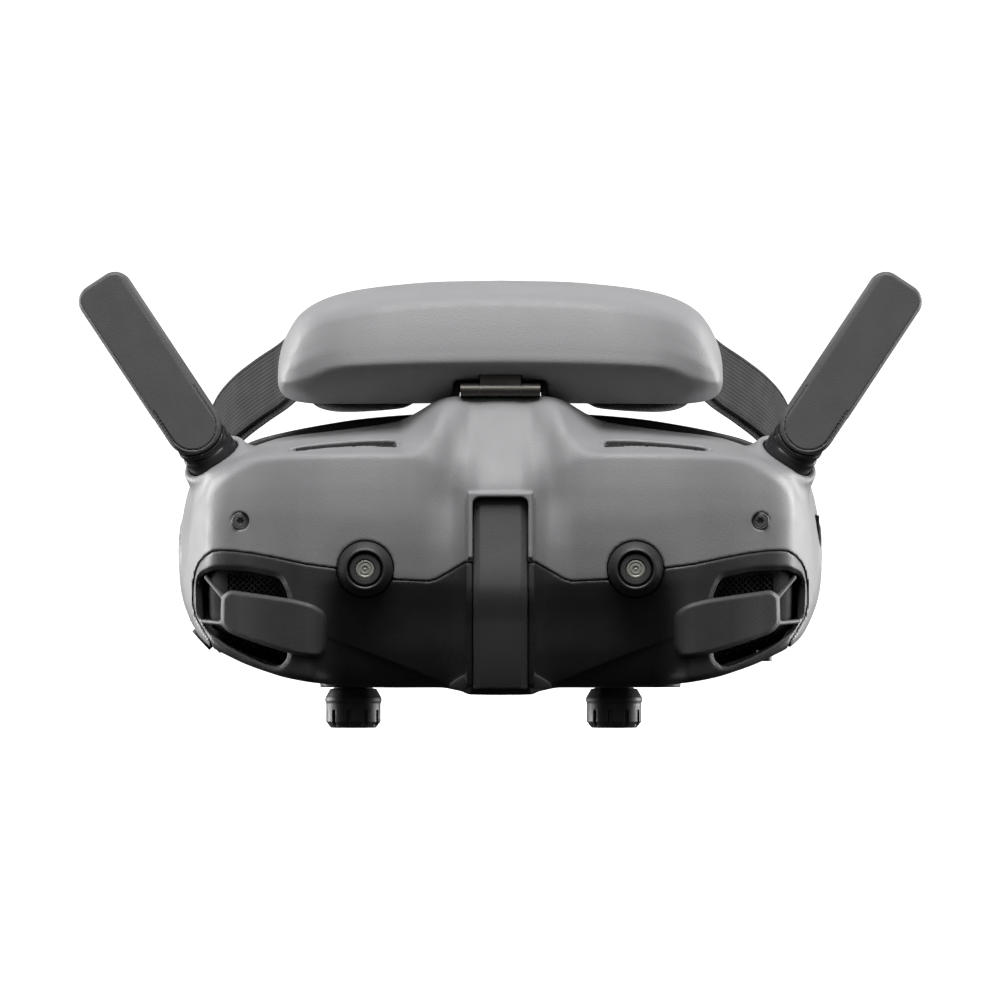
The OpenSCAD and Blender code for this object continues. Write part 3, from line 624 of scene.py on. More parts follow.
CX, CZ, CR = 35.4, 0.3, 7.3
SX, SZ = 68.3, 12.9
AX = np.array([-0.487, -0.469, 0.736])
AX = AX / np.linalg.norm(AX)
AC = np.array([-75.4, -42, 29.0])
AK = AC + np.array([-0.487, -0.469, 0.736]) * 12
PJ, NJ = np.array([-78.2, -36, -17.8]), np.array([-0.738, 0, -0.675])
PB = np.array([-78.2, -22, -17.8])
SLOT = rounded([[-54.6, -64.4], [-52, -65.6], [-28.2, -67.4], [-27, -66.6], [-27.4, -63.6], [-29, -62.6], [-52.4, -60.6], [-54.4, -61.4]], 1.2)


def holes(x, y, z, r):
    """Openings that both halves of the housing share."""
    u = np.abs(x)
    cam = np.sqrt((u - CX) ** 2 + (z - CZ) ** 2) - (CR + 0.22)
    r = smax(r, -np.maximum(cam, y + 55), 0.5)
    bar = smax(u - 7.35, z - 19.15, 2.4)
    r = smax(r, -np.maximum(bar, y - BARY(z) - 4.6), 0.35)
    r = smax(r, -cyl(-u, y, z, AC, AX, 7.35, -8, 20), 0.5)
    pod = cyl(x, y, z, PJ, NJ, 6.0, -8, 12)
    r = smax(r, -pod, 0.3)
    r = smax(r, -cyl(x, y, z, PB, NJ, 2.8, -8, 12), 0.3)
    r = smax(r, -cyl(x, y, z, (70, -24, -40), (0, 0, 1), 2.3, 0, 30), 0.25)
    return r


def shell_wall(x, y, z, d, w=2.2):
    return np.maximum(np.maximum(d, -(d + w)), y + 14)


BARY = Curve([[-36, -64.6], [-32, -67], [-27, -69.5], [-14, -74.6], [-3.4, -78.3], [-2.8, -78.3], [8, -77.1], [17, -75.9], [19.5, -75.5]])


def tray(x, y, z):
    """Channel that carries the nose bar."""
    u = np.abs(x)
    o = smax(u - 9.0, z - 20.6, 2.4)
    o = np.maximum(o, np.maximum(BARY(z) + 1.6 - y, y - BARY(z) - 6.2))
    i = np.maximum(smax(u - 7.35, z - 19.15, 2.4), y - BARY(z) - 4.7)
    return np.maximum(o, -i)


def f_front(x, y, z):
    d = housing(x, y, z)
    u = np.abs(x)
    # soft rim round each antenna foot
    rim = cyl(-u, y, z, AC, AX, 9.0, -6, 0.9, 0.8)
    o = smin(d, rim, 4.5)
    s = np.maximum(np.maximum(o, -(d + 2.2)), y + 14)
    p = part2(x, z)
    # the grey rises in a narrow lip along its lower edge
    s = smax(s, 0.12 - p, 0.35)
    s = holes(x, y, z, s)
    # raised frame round the nose bar
    fr = smax(np.maximum(u - 8.5, z - 20.5), -smax(u - 7.35, z - 19.15, 2.4), 0.3)
    fr = np.maximum(np.maximum(fr, 0.3 - p), np.maximum(y + 70, -78.15 - y))
    s = smin(s, smax(fr, -(d + 3), 0.3), 0.5)
    s = smin(s, np.maximum(tray(x, y, z), 2.2 - z), 0.4)
    # stepped screw seats
    q = np.sqrt((u - SX) ** 2 + (z - SZ) ** 2)
    s = smax(s, -np.maximum(q - 2.34, y + 50), 0.3)
    # air slots with a sunk border
    sl = poly2(-u, y, SLOT)
    s = smax(s, -np.maximum(sl, 24 - z), 0.3)
    s = smax(s, -np.maximum(np.maximum(sl - 0.9, -(d + 0.7)), y + 62.2 + 0.0855 * (52.4 - u)), 0.4)
    s = np.maximum(s, -box3(x, y, z, (84, -21.7, 7.65), (6, 5.9, 6.8), 0.8))
    return s


def f_visor(x, y, z):
    d = housing(x, y, z)
    u = np.abs(x)
    p = part2(x, z)
    # facet that rises toward the bar at the lower inner corner
    fac = (-31 + 0.41 * (u - 12.3) - z) / 1.08
    out = 1.5 * smooth((-9 - z) / 14) * smooth((42 - u) / 14)
    o = smin(d, np.maximum(np.maximum(fac, d - out), BOT(u) - z), 0.9) + 0.12
    v = vent2(x, z)
    s = np.maximum(np.maximum(o, -(d + 2.2)), y + 14)
    s = smax(s, p + 0.12, 0.4)
    # lap that runs on behind the grey shell
    lap = np.maximum(np.maximum(d + 2.35, -(d + 3.3)), np.maximum(p - 2.4, -(p + 1.4)))
    s = np.minimum(s, np.maximum(lap, y + 15))
    # sunk pocket of the vent: chamfered mouth, straight walls behind it
    cham = v + 1.5 * smooth((d + 1.6) / 1.6) * smooth((u - 54) / 4) * 0 - 0.9 * np.clip((d + 1.4) / 1.4, 0, 1)
    s = smax(s, -np.maximum(cham, y + 46.5), 0.5)
    tube = np.maximum(np.maximum(v - 1.3, -v), np.maximum(y + 47.4, d + 0.7))
    s = smin(s, tube, 0.5)
    s = holes(x, y, z, s)
    s = np.maximum(s, -np.maximum(box3(x, y, z, (0, -38, -34), (50.2, 20.2, 9), 0.5), z + 24.9))
    s = np.minimum(s, np.maximum(tray(x, y, z), np.maximum(z - 2, -30.4 - z)))
    w = poly2(x, z, [[-18.3, -42], [-13.8, -28], [-6.3, -14.7], [6.3, -14.7], [13.8, -28], [18.3, -42]])
    s = np.maximum(s, -np.maximum(w, -32 - y))
    return s


def f_bottom(x, y, z):
    d = housing(x, y, z) + 0.15
    u = np.abs(x)
    s = np.maximum(d, -(d + 2.3))
    b = box3(x, y, z, (0, -38, -34), (50, 20, 9), 1.2)
    s = smax(s, np.maximum(b, z + 25.1), 0.5)
    du = np.maximum(np.maximum(30.1 - u, u - 38.9), 0)
    rr = np.sqrt(du ** 2 + (y + 36) ** 2)
    s = smin(s, np.maximum(rr - 8.8, np.abs(z + 29.6) - 1.5), 0.4)
    s = smax(s, -np.maximum(rr - 7.6, z + 29.4), 0.4)
    s = smax(s, -(rr - 5.5), 0.3)
    w = poly2(x, z, [[-18.3, -42], [-13.8, -28], [-6.3, -14.7], [6.3, -14.7], [13.8, -28], [18.3, -42]])
    s = np.maximum(s, -np.maximum(w, -32 - y))
    return s


def build_housing():
    o = piece("looks_front_shell", f_front, (-86, -80, -24), (86, -13, 47), 0.5, sharp=None)
    fit(o, GREY, "grey_shell", "visor", "front_shell")
    o = piece("looks_front_visor", f_visor, (-82, -79, -34), (82, -13, 7), 0.5, sharp=None)
    fit(o, BLACK, "black_shell", "visor", "front_visor")
    o = piece("looks_bottom_cover", f_bottom, (-51, -59, -34), (51, -17, -24), 0.5, sharp=None)
    fit(o, BLACK, "black_shell", "visor", "bottom_cover")


build_housing()



# ---------------------------------------------------------------- front pieces
def f_bar(x, y, z):
    u = np.abs(x)
    wide = 7.1 + 6.4 * smooth((-25.2 - z) / 5.4) * smooth((y - BARY(z) - 2.6) / 0.8)
    s = smax(u - wide, z - 18.9, 2.3)
    inner = smax(u - (wide - 1.75), z - 17.15, 1.2)
    front = BARY(z) + 0.75 * np.clip(inner, 0, 1.7) - y
    s = smax(s, front, 0.45)
    return smax(np.maximum(s, y - BARY(z) - 4.2), -31.2 - z, 0.5)


def f_plate(x, y, z):
    d = housing(x, y, z)
    p = poly2(x, z, PLATE)
    lip = 0.55 * smooth((p + 1.1) / 1.1)
    s = smax(d - 1.75 + lip, p, 0.5)
    # thicker where the plate bridges the sunk vent
    s = smax(s, 0.12 - d - 3.2 * smooth((-57.5 - x) / 1.5), 0.3)
    for a, b, r in STRUTS:
        s = smin(s, capsule(x, y, z, a, b, r), 0.7)
    return s


PLATE = rounded([[-73.4, -6.9], [-71.2, -5.2], [-54, -7.6], [-49.2, -8.8], [-46.0, -10.8], [-45.3, -13.4], [-45.5, -20.8],
                 [-47.2, -23], [-53.5, -22.3], [-60.1, -20.4], [-66.9, -18.2], [-71.6, -16.4], [-73.6, -14.2]], 1.5)


def on_front(x, z, out):
    return [x, float(h_front(np.array(abs(x)), np.array(z))) - out, z]


STRUTS = [
    (on_front(-73.2, -6.8, -0.9), on_front(-77.4, -2.0, -2.6), 0.62),
    (on_front(-73.2, -14.0, -0.9), on_front(-78.4, -13.6, -2.6), 0.6),
]


def lattice(a, b, pitch, half):
    """Crossing diagonal bars in the plane (a, b)."""
    k = pitch * math.sqrt(2)
    p = np.abs(((a + b) / k) % 1 - 0.5) * k / math.sqrt(2)
    q = np.abs(((a - b) / k) % 1 - 0.5) * k / math.sqrt(2)
    return np.minimum(p, q) - half


def f_mesh(x, y, z):
    d = housing(x, y, z)
    v = vent2(x, z)
    bars = lattice(x, z, 1.15, 0.24)
    s = smax(bars, np.abs(d + 5.0) - 0.35, 0.15)
    rim = np.minimum(np.maximum(v, -(v + 1.0)), np.maximum(v, 71.6 + x))
    s = smin(s, np.maximum(rim, np.abs(d + 5.1) - 0.5), 0.2)
    s = np.maximum(s, v + 0.1)
    return np.maximum(s, y + 46.2)


def f_top_mesh(x, y, z):
    d = housing(x, y, z)
    sl = poly2(x, y, SLOT)
    zig = np.abs(((x / 1.6) % 1) - 0.5) * 2
    rear = -60.9 - 0.0855 * (x + 52.4)
    bars = np.abs(d + 1.5 + 0.5 * (zig - 0.5)) - 0.2
    s = np.maximum(bars, np.abs(y - rear + 1.0) - 0.35)
    back = np.maximum(np.abs(y - rear) - 0.45, np.maximum(d + 0.5, -3.4 - d))
    s = smin(s, back, 0.1)
    floor = np.maximum(np.abs(d + 3.2) - 0.35, sl - 0.4)
    s = smin(s, floor, 0.1)
    return np.maximum(s, sl - 0.5)


def f_screw(x, y, z):
    dx, dz = x + SX, z - SZ
    r = np.sqrt(dx * dx + dz * dz)
    th = np.arctan2(dz, dx)
    front = on_front(-SX, SZ, -0.15)[1]
    head = smax(r - 2.25, front - y, 0.35)
    head = np.maximum(head, y - (front + 1.6))
    star = r - (0.86 + 0.16 * np.cos(6 * th))
    head = smax(head, -np.maximum(star, y - (front + 1.1)), 0.08)
    head = smax(head, -np.maximum(np.abs(r - 1.75) - 0.1, y - front - 0.14), 0.08)
    return np.minimum(head, np.maximum(r - 0.9, np.abs(y - front - 4.2) - 2.8))


def build_front():
    o = piece("looks_nose_bar", f_bar, (-13, -80, -32), (13, -62, 20), 0.3)
    fit(o, BARM, "dark_plastic", "visor", "nose_bar")
    for side, m in (("left", False), ("right", True)):
        o = piece("looks_vent_plate_" + side, f_plate, (-80, -80, -25), (-44, -46, 0), 0.3, sharp=None, mirror=m)
        fit(o, DARK, "dark_plastic", "visor", "vent_plate_" + side)
        o = piece("looks_vent_mesh_" + side, f_mesh, (-80.5, -71, -26), (-55, -46, 0.5), 0.2, mirror=m)
        fit(o, MESH_BLACK_SHADED, "black_shell", "visor", "vent_meshes")
        o = piece("looks_top_vent_mesh_" + side, f_top_mesh, (-56, -69, 24), (-26, -59, 36), 0.2, mirror=m)
        fit(o, SLOTM, "black_shell", "visor", "top_vent_meshes")
        o = piece("looks_screw_" + side, f_screw, (-71, -65, 10), (-65.5, -55, 16), 0.11, mirror=m)
        fit(o, SCREWM, "steel", "visor", "housing_screws")
        sx = 1 if m else -1
        c = (sx * CX, 0, CZ)
        o = lathe("looks_bezel_" + side, [(4.62, 70), (7.25, 70), (7.25, 77.7), (7.15, 78.05), (6.9, 78.4), (5.5, 80.0), (5.25, 80.2),
                                          (4.95, 80.25), (4.72, 80.1), (4.62, 79.8)], c, (0, -1, 0), 128)
        fit(o, BEZEL, "dark_plastic", "visor", "camera_bezel_" + side)
        o = lathe("looks_camera_" + side, [(0, 64.4), (4.45, 64.4), (4.45, 77.6), (4.12, 77.7), (4.08, 79.0), (3.85, 79.3),
                                           (2.75, 79.3), (2.62, 79.15), (2.55, 77.95), (0, 77.95)], c, (0, -1, 0), 96)
        fit(o, LENSFACE, "black_shell", "visor", "camera_modules")
        o = lathe("looks_camera_glass_" + side, [(0, 77.97), (2.5, 77.97), (2.5, 78.75), (2.3, 78.95), (1.95, 78.98), (1.72, 78.72),
                                                 (1.5, 78.7), (1.32, 78.98), (0.95, 79.02), (0.8, 78.7), (0.45, 78.68), (0.3, 78.95), (0, 79.05)],
                  c, (0, -1, 0), 72, sharp=50)
        fit(o, OPTIC, "glass", "visor", "camera_glasses")


BARM = material("bar_plastic", (0.088, 0.088, 0.09), rough=0.55, grain=0.6, size=0.28, var=0.03, edge_highlight=0.2)
SCREWM = material("screw_black", (0.16, 0.16, 0.165), rough=0.35, grain=0.1, size=0.2, metal=0.5, edge_highlight=0.3)
BEZEL = material("bezel_plastic", (0.03, 0.03, 0.032), rough=0.4, grain=0.25, size=0.3, edge_highlight=0.3)
LENSFACE = material("lens_face", (0.05, 0.05, 0.05), rough=0.45, grain=0.2, size=0.25)
OPTIC = glassy("optic", (0.30, 0.31, 0.27), 0.22)
build_front()


# ---------------------------------------------------------------- knobs
KPROF = [[-1, -28.5], [5.0, -28.5], [5.0, -31.5], [6.05, -31.7], [7.3, -33.9], [7.4, -34.6], [7.1, -35.4], [7.1, -40.2],
         [6.5, -41.0], [5.9, -41.75], [-1, -41.75]]


def build_knobs():
    for side, kx in (("left", -38.9), ("right", 30.1)):
        def f(x, y, z, kx=kx):
            dx, dy = x - kx, y + 36
            r = np.sqrt(dx * dx + dy * dy)
            th = np.arctan2(dy, dx)
            s = poly2(r, z, KPROF) - 0.12
            t = np.abs(((th / (2 * math.pi) * 10 + 0.25) % 1) - 0.5) * (2 * math.pi / 10) * r
            slot = np.maximum(np.maximum(t - 0.5, 6.3 - r), z + 37.2)
            s = smax(s, -slot, 0.25)
            return smax(s, -np.maximum(r - 1.65, -39 - z), 0.2)

        o = piece("looks_knob_" + side, f, (kx - 8, -44, -42.5), (kx + 8, -28, -28), 0.2)
        fit(o, KNOB, "dark_plastic", "knob_" + side, "focus_knob_" + side)


build_knobs()

# ---------------------------------------------------------------- antennas
LEAN = math.radians(33.5)
PA = [np.array([math.cos(LEAN), 0, math.sin(LEAN)]), np.array([0, 1, 0.0]), np.array([-math.sin(LEAN), 0, math.cos(LEAN)])]


def f_collar(x, y, z):
    u, v, w = local(x, y, z, AC, axis_frame(AX))
    r = np.sqrt(u * u + v * v)
    s = poly2(r, w, [[-1, -3], [7.05, -3], [7.05, 4.1], [6.75, 4.7], [6.4, 4.9], [6.4, 6.0], [6.75, 6.2], [7.0, 6.45], [7.0, 7.1],
                     [6.7, 7.45], [-1, 7.45]]) - 0.05
    sw = np.sqrt((x - AK[0]) ** 2 + (z - AK[2]) ** 2)
    s = smax(s, -np.maximum(sw - 7.85, y - AK[1] - 4.1), 0.3)
    ton = np.maximum(sw - 6.9, np.abs(y - AK[1]) - 1.65)
    web = np.maximum(np.abs(y - AK[1]) - 1.65, np.maximum(np.maximum(r - 6.9, w - 11), 1 - w))
    s = smin(s, np.maximum(ton, -1e9), 0.3)
    s = smin(s, web, 0.3)
    pin = np.maximum(sw - 1.5, np.abs(y - AK[1]) - 2.8)
    return np.minimum(s, pin)


def f_paddle(x, y, z):
    a, t, l = local(x, y, z, AK, PA)
    # outline: round foot, straight sides, tight top corners
    low = np.sqrt(a * a + np.minimum(l, 0) ** 2) - 7.6
    qx, ql = np.abs(a) - 7.6 + 4.6, l - 46 + 4.6
    top = np.sqrt(np.maximum(qx, 0) ** 2 + np.maximum(ql, 0) ** 2) + np.minimum(np.maximum(qx, ql), 0) - 4.6
    o = np.maximum(low, np.where(l > 8, top, np.abs(a) - 7.6))
    # broad bevel on the outer long edge, narrow on the other
    bevel = 0.30 * np.clip(a - 5.7, 0, 2) + 0.9 * np.clip(o + 0.8, 0, 1) + 1.5 * np.clip(-a - 6.75, 0, 1)
    s = smax(o, np.abs(t) - 3.8 + bevel, 0.55)
    groove = np.maximum(np.maximum(np.abs(o + 1.35) - 0.13, 3.3 - np.abs(t)), l - 9)
    s = smax(s, -groove, 0.12)
    fork = np.maximum(np.abs(t) - 1.8, l - 7.2)
    s = smax(s, -fork, 0.2)
    return np.maximum(s, np.minimum(1.6 - np.sqrt(a * a + l * l), 1.0) * np.where(np.abs(t) < 2.9, 1, 0) - 9 * np.where(np.abs(t) < 2.9, 0, 1))


def build_antennas():
    for side, m in (("left", False), ("right", True)):
        o = piece("looks_collar_" + side, f_collar, (-89, -58, 22), (-66, -34, 46), 0.22, mirror=m)
        fit(o, COLLAR, "black_shell", "collar_" + side, "antenna_collar_" + side)
        o = piece("looks_paddle_" + side, f_paddle, (-112, -52, 29), (-73, -43, 79.5), 0.3, sharp=None, mirror=m)
        fit(o, PADDLE, "dark_plastic", "paddle_" + side, "antenna_paddle_" + side)


build_antennas()

# ---------------------------------------------------------------- forehead pad
PTC = Curve([[0, 76.5], [16, 76.2], [29, 75.2], [38, 74], [44, 72.6], [49, 70.6], [52.6, 68.2], [55.2, 65], [57.2, 61.2], [58.6, 57.6], [59.4, 54]])
PUC = Curve([[0, 44.1], [42, 43.9], [48.3, 43.9], [53.3, 44.4], [57.2, 45.7], [58.8, 47], [59.6, 48.6]])
PFC = Curve([[0, -65], [30, -64], [40, -62.2], [46, -60], [52, -56.6], [56, -53], [58.5, -49.4], [59.4, -47]])
PG = Curve([[-0.4, 12], [0, 6.8], [0.15, 5.0], [0.4, 2.1], [0.58, 0.5], [0.665, 0], [0.7, 0.6], [0.76, 2.8], [0.88, 9], [0.96, 14], [1.04, 20]])
PG2 = Curve([[-0.4, 12], [0, 6.8], [0.15, 5.0], [0.4, 2.1], [0.55, 1.0], [0.68, 0.9], [0.78, 2.0], [0.88, 4.6], [0.96, 8.5], [1.04, 14]])
PSH = Curve([[-3, 1.25], [0, 1.05], [4, 0.72], [9, 0.4], [16, 0.13], [24, 0]])


def pad_body(x, y, z):
    u = np.abs(x)
    e = F32(0.3)

    def top(q, yy):
        return PTC(q) - (4.9 - 2.4 * smooth((q - 44) / 14)) * PSH(yy - PFC(q) - 4.2)

    def front(q, zz):
        t, b = PTC(q), PUC(q)
        v = (t - zz) / np.maximum(t - b, 8) - 0.06 * smooth((q - 43) / 13)
        return PFC(q) + mix(PG(v), PG2(v), smooth((q - 38) / 14))

    um = np.abs(u - e)
    t = top(u, y)
    tu, ty = (top(u + e, y) - top(um, y)) / (2 * e), (top(u, y + e) - top(u, y - e)) / (2 * e)
    d = (z - t) / np.sqrt(1 + tu * tu + ty * ty)
    f = front(u, z)
    fu, fz = (front(u + e, z) - front(um, z)) / (2 * e), (front(u, z + e) - front(u, z - e)) / (2 * e)
    d2 = (f - y) / np.sqrt(1 + fu * fu + fz * fz)
    b = PUC(u)
    bu = (PUC(u + e) - PUC(um)) / (2 * e)
    d3 = (b - z) / np.sqrt(1 + bu * bu)
    s = smax(d, d2, 2.2 + 2 * smooth((u - 46) / 10))
    s = smax(s, d3, 1.6 + 3.4 * smooth((u - 44) / 12))
    return smax(s, u - 59.7, 1.0)


def f_pad(x, y, z):
    d = pad_body(x, y, z)
    u = np.abs(x)
    s = np.maximum(np.maximum(d, -(d + 2.2)), y + 30)
    rec = smax(smax(u - 12.4, z - 50.1, 1.5), y + 27, 0.4)
    box = np.maximum(np.maximum(rec - 1.3, d + 0.3), y + 30)
    s = smin(s, box, 0.4)
    s = smax(s, -rec, 0.45)
    # rear underside lifts over the housing
    lift = np.maximum(u - 19.5, z - np.where(u > 12.6, TOP(u) - 0.05, 46.6))
    s = np.maximum(s, -lift)
    # stop lugs beside the hinge
    s = np.minimum(s, box3(u, y, z, (11.95, -48, 48.2), (1.3, 1.2, 2.5), 0.3))
    return np.maximum(s, -np.maximum(np.maximum(u - 5.7, np.abs(y + 60) - 1.4), np.abs(z - 51) - 5.6))


def build_pad():
    o = piece("looks_pad_shell", f_pad, (-60, -66, 43.5), (60, -29.5, 77), 0.5, sharp=None)
    fit(o, GREY, "grey_shell", "headband", "pad_shell")


build_pad()


# ---------------------------------------------------------------- rear frame
ARC = Curve([[0, 43.2], [13, 42.6], [22, 41.7], [29, 41.2], [38, 40.3], [47, 38.9], [53, 37.8], [59, 36.5], [64, 35.2], [68.5, 33.5],
             [74, 31], [79, 27], [82.4, 21.5], [84, 15]])


def outline2(x, z, g):
    u = np.abs(x)
    e = F32(0.3)
    um = np.abs(u - e)
    a, b = ARC(u), BOT(u)
    au, bu = (ARC(u + e) - ARC(um)) / (2 * e), (BOT(u + e) - BOT(um)) / (2 * e)
    s = smax((z - a) / np.sqrt(1 + au * au), (b - z) / np.sqrt(1 + bu * bu), 3)
    return smax(s, u - 83.7, 2) + g


def f_rear(x, y, z):
    u = np.abs(x)
    s = smax(outline2(x, z, 0.4), np.abs(y + 10.9) - 2.9, 0.8)
    for t in (-1, 1):
        s = smin(s, box3(u, y, z, (52, -31.4, t * 24.5 + 0.2), (2, 17.7, 2.1), 0.4), 0.4)
    st = np.sqrt(np.maximum(np.maximum(27.7 - u, u - 36.5), 0) ** 2 + z * z) - 21.2
    s = smax(s, -st, 0.8)
    w = poly2(x, z, [[-18.3, -42], [-13.8, -28], [-6.3, -14.7], [6.3, -14.7], [13.8, -28], [18.3, -42]])
    s = smax(s, -w, 0.5)
    for zz in (2, 16):
        s = smax(s, -cyl(u, y, z, (74, -10.6, zz), (0, 1, 0), 2.1, -0.2, 5), 0.15)
    return s


def build_rear():
    o = piece("looks_rear_frame", f_rear, (-85, -50, -34), (85, -7, 44), 0.6, sharp=None)
    fit(o, BLACK, "black_shell", "visor", "rear_frame")


build_rear()


# ---------------------------------------------------------------- cushions
def inflate(o, cap=1.3, voxel=3.6, pressure=4.0):
    """Cloth simulation of the cover: the shape is pumped up against its own fabric, and the travel is capped, in mm."""
    bpy.context.view_layer.objects.active = o
    for x in bpy.context.selected_objects:
        x.select_set(False)
    o.select_set(True)
    r = o.modifiers.new("remesh", "REMESH")
    r.mode = "VOXEL"
    r.voxel_size = voxel * 0.001
    bpy.ops.object.modifier_apply(modifier=r.name)
    n = len(o.data.vertices)
    rest = np.zeros(n * 3)
    o.data.vertices.foreach_get("co", rest)
    rest = rest.reshape(-1, 3)
    c = o.modifiers.new("cloth", "CLOTH")
    c.settings.quality = 6
    c.settings.mass = 0.15
    c.settings.tension_stiffness = 12
    c.settings.compression_stiffness = 12
    c.settings.shear_stiffness = 6
    c.settings.bending_stiffness = 0.6
    c.settings.use_pressure = True
    c.settings.uniform_pressure_force = pressure
    c.settings.effector_weights.gravity = 0
    c.collision_settings.use_collision = False
    c.collision_settings.use_self_collision = False
    c.point_cache.frame_start, c.point_cache.frame_end = 1, 20
    sc = bpy.context.scene
    for f in range(1, 21):
        sc.frame_set(f)
    dg = bpy.context.evaluated_depsgraph_get()
    ev = o.evaluated_get(dg)
    now = np.zeros(n * 3)
    ev.data.vertices.foreach_get("co", now)
    now = now.reshape(-1, 3)
    o.modifiers.remove(c)
    sc.frame_set(1)
    d = now - rest
    ln = np.linalg.norm(d, axis=1, keepdims=True)
    d *= np.minimum(1, cap * 0.001 / np.maximum(ln, 1e-9))
    if np.isfinite(d).all():
        o.data.vertices.foreach_set("co", (rest + d).astype(F32).ravel())
    sub = o.modifiers.new("sub", "SUBSURF")
    sub.levels = sub.render_levels = 2
    bpy.ops.object.modifier_apply(modifier=sub.name)
    o.data.polygons.foreach_set("use_smooth", np.ones(len(o.data.polygons), bool))
    o.data.update()
    return o


FOAM_IN = rounded([[-66, -14], [-60, -19], [-22, -22], [-10, -8], [10, -8], [22, -22], [60, -19], [66, -14],
                   [70, 0], [69, 18], [60, 27], [30, 31], [-30, 31], [-60, 27], [-69, 18], [-70, 0]], 6)
WEDGE = [[-18.6, -42], [-14.1, -28], [-6.5, -14.4], [6.5, -14.4], [14.1, -28], [18.6, -42]]


def f_face_foam(x, y, z):
    s = smax(outline2(x, z, 2.3), -(poly2(x, z, FOAM_IN) - 0.9), 2.0)
    s = smax(s, np.abs(y - 8.3) - 15.2, 2.5)
    s = smax(s, 144.9 - np.sqrt(x * x + (y - 145.5) ** 2), 4.5)
    return smax(s, -poly2(x, z, WEDGE) + 0.6, 2.0)


PADO = rounded([[-52, 60], [-50.4, 66], [-45, 69.8], [-28, 72.6], [0, 73.6], [28, 72.6], [45, 69.8], [50.4, 66], [52, 60],
                [53, 48], [50.6, 43.6], [45, 41.6], [24, 42.9], [20, 47.6], [-20, 47.6], [-24, 42.9], [-45, 41.6],
                [-50.6, 43.6], [-53, 48]], 3)


def f_pad_cushion(x, y, z):
    s = smax(poly2(x, z, PADO), np.abs(y + 7.2) - 22.2, 3.5)
    return smax(s, 92.8 - np.sqrt(x * x + (y - 92) ** 2), 5.0)


def polar(x, y):
    return np.sqrt(x * x + (y - 74) ** 2), np.arctan2(x, y - 74)


def f_battery_pad(x, y, z):
    r, a = polar(x, y)
    s = smax(np.abs(r - 87.6) - 3.7, np.abs(a) * 87.4 - 44.6, 3.0)
    return smax(s, np.abs(z - 15) - 18.8, 3.0)


def pod_half(x):
    """Half height of the rear pod, which tapers toward its ends."""
    return 22.9 - 5.6 * smooth((np.abs(x) - 38) / 25)


def f_battery(x, y, z):
    r, a = polar(x, y)
    s = smax(np.abs(r - 102) - 9.9, np.abs(a) * 105 - 67.6, 3.5)
    s = smax(s, np.abs(z - 15) - pod_half(x), 3.0)
    # shallow channel round the middle
    return smax(s, -(np.abs(r - 104) - 0.5 + 0.0 * z + np.maximum(-s - 0.6, 0) * 3), 0.3)


def f_cover(x, y, z):
    r, a = polar(x, y)
    s = smax(r - 117.9, np.abs(a) * 115 - 74.1, 4.0)
    s = smax(s, np.abs(z - 15) - pod_half(x), 4.0)
    s = smax(s, 112.2 - r, 0.5)
    u = np.sqrt(x * x + (z - 15) ** 2)
    s = smax(s, -(u - 8.3), 0.5)
    dish = np.maximum(u - 15.2, 117.2 - r)
    s = smax(s, -dish, 0.8)
    return smax(s, -cyl(x, y, z, (46, 150, 15), (math.sin(math.radians(22)), math.cos(math.radians(22)), 0), 4.7, 0, 60), 0.4)


def f_dial(x, y, z):
    r = np.sqrt(x * x + (z - 15) ** 2)
    th = np.arctan2(z - 15, x)
    s = np.maximum(r - 7.9, np.abs(y - 190.7) - 1.7)
    t = np.abs(((th / (2 * math.pi) * 24) % 1) - 0.5) * (2 * math.pi / 24) * r
    disc = smax(r - 13, np.abs(y - 194.5) - 2.2, 0.9)
    disc = smax(disc, -np.maximum(t - 0.55, 12.2 - r), 0.3)
    dish = np.maximum(r - 9.6, 195.9 + 0.02 * r - y)
    disc = smax(disc, -dish, 0.6)
    return smin(s, disc, 0.2)


ROUTE = [(-55.6, -28, 54), (-59, -17, 51.5), (-64.5, -5, 48), (-70.5, 9, 43.6), (-75, 25, 39), (-77.6, 44, 34.4), (-78.6, 66, 29.6),
         (-77.6, 88, 25), (-74, 108, 21), (-68.4, 126, 17.6), (-63.8, 139, 15.6), (-59.9, 150.4, 15)]


def strap_frames(steps=190, mirror=False):
    P = [np.array(p, float) for p in ROUTE]
    P = [2 * P[0] - P[1]] + P + [2 * P[-1] - P[-2]]
    seg = len(P) - 3
    out = []
    for i in range(steps + 1):
        q = i / steps * seg
        k = min(int(q), seg - 1)
        t = q - k
        a, b, c, d = P[k : k + 4]
        pos = 0.5 * (2 * b + (c - a) * t + (2 * a - 5 * b + 4 * c - d) * t * t + (3 * b - a - 3 * c + d) * t ** 3)
        tan = 0.5 * ((c - a) + 2 * (2 * a - 5 * b + 4 * c - d) * t + 3 * (3 * b - a - 3 * c + d) * t * t)
        tan /= np.linalg.norm(tan)
        n = np.cross(tan, [0, 0, 1])
        n /= np.linalg.norm(n)
        v = np.cross(n, tan)
        out.append((pos, v / np.linalg.norm(v), n))
    return out


def strap_section():
    """Elastic webbing: a row of round ribs on both faces between two firmer edges."""
    pts = []
    ribs, w = 15, 16.0
    for side in (1, -1):
        for i in range(ribs * 4 + 1):
            q = i / (ribs * 4)
            a = (q - 0.5) * (w - 0.5)
            bump = 0.66 + 0.22 * abs(math.sin(q * ribs * math.pi))
            if q < 0.05 or q > 0.95:
                bump = 0.8
            pts.append((a * side, bump * side))
        pts.append((side * (w / 2 - 0.06), side * 0.45))
        pts.append((side * (w / 2 - 0.06), -side * 0.45))
    return pts


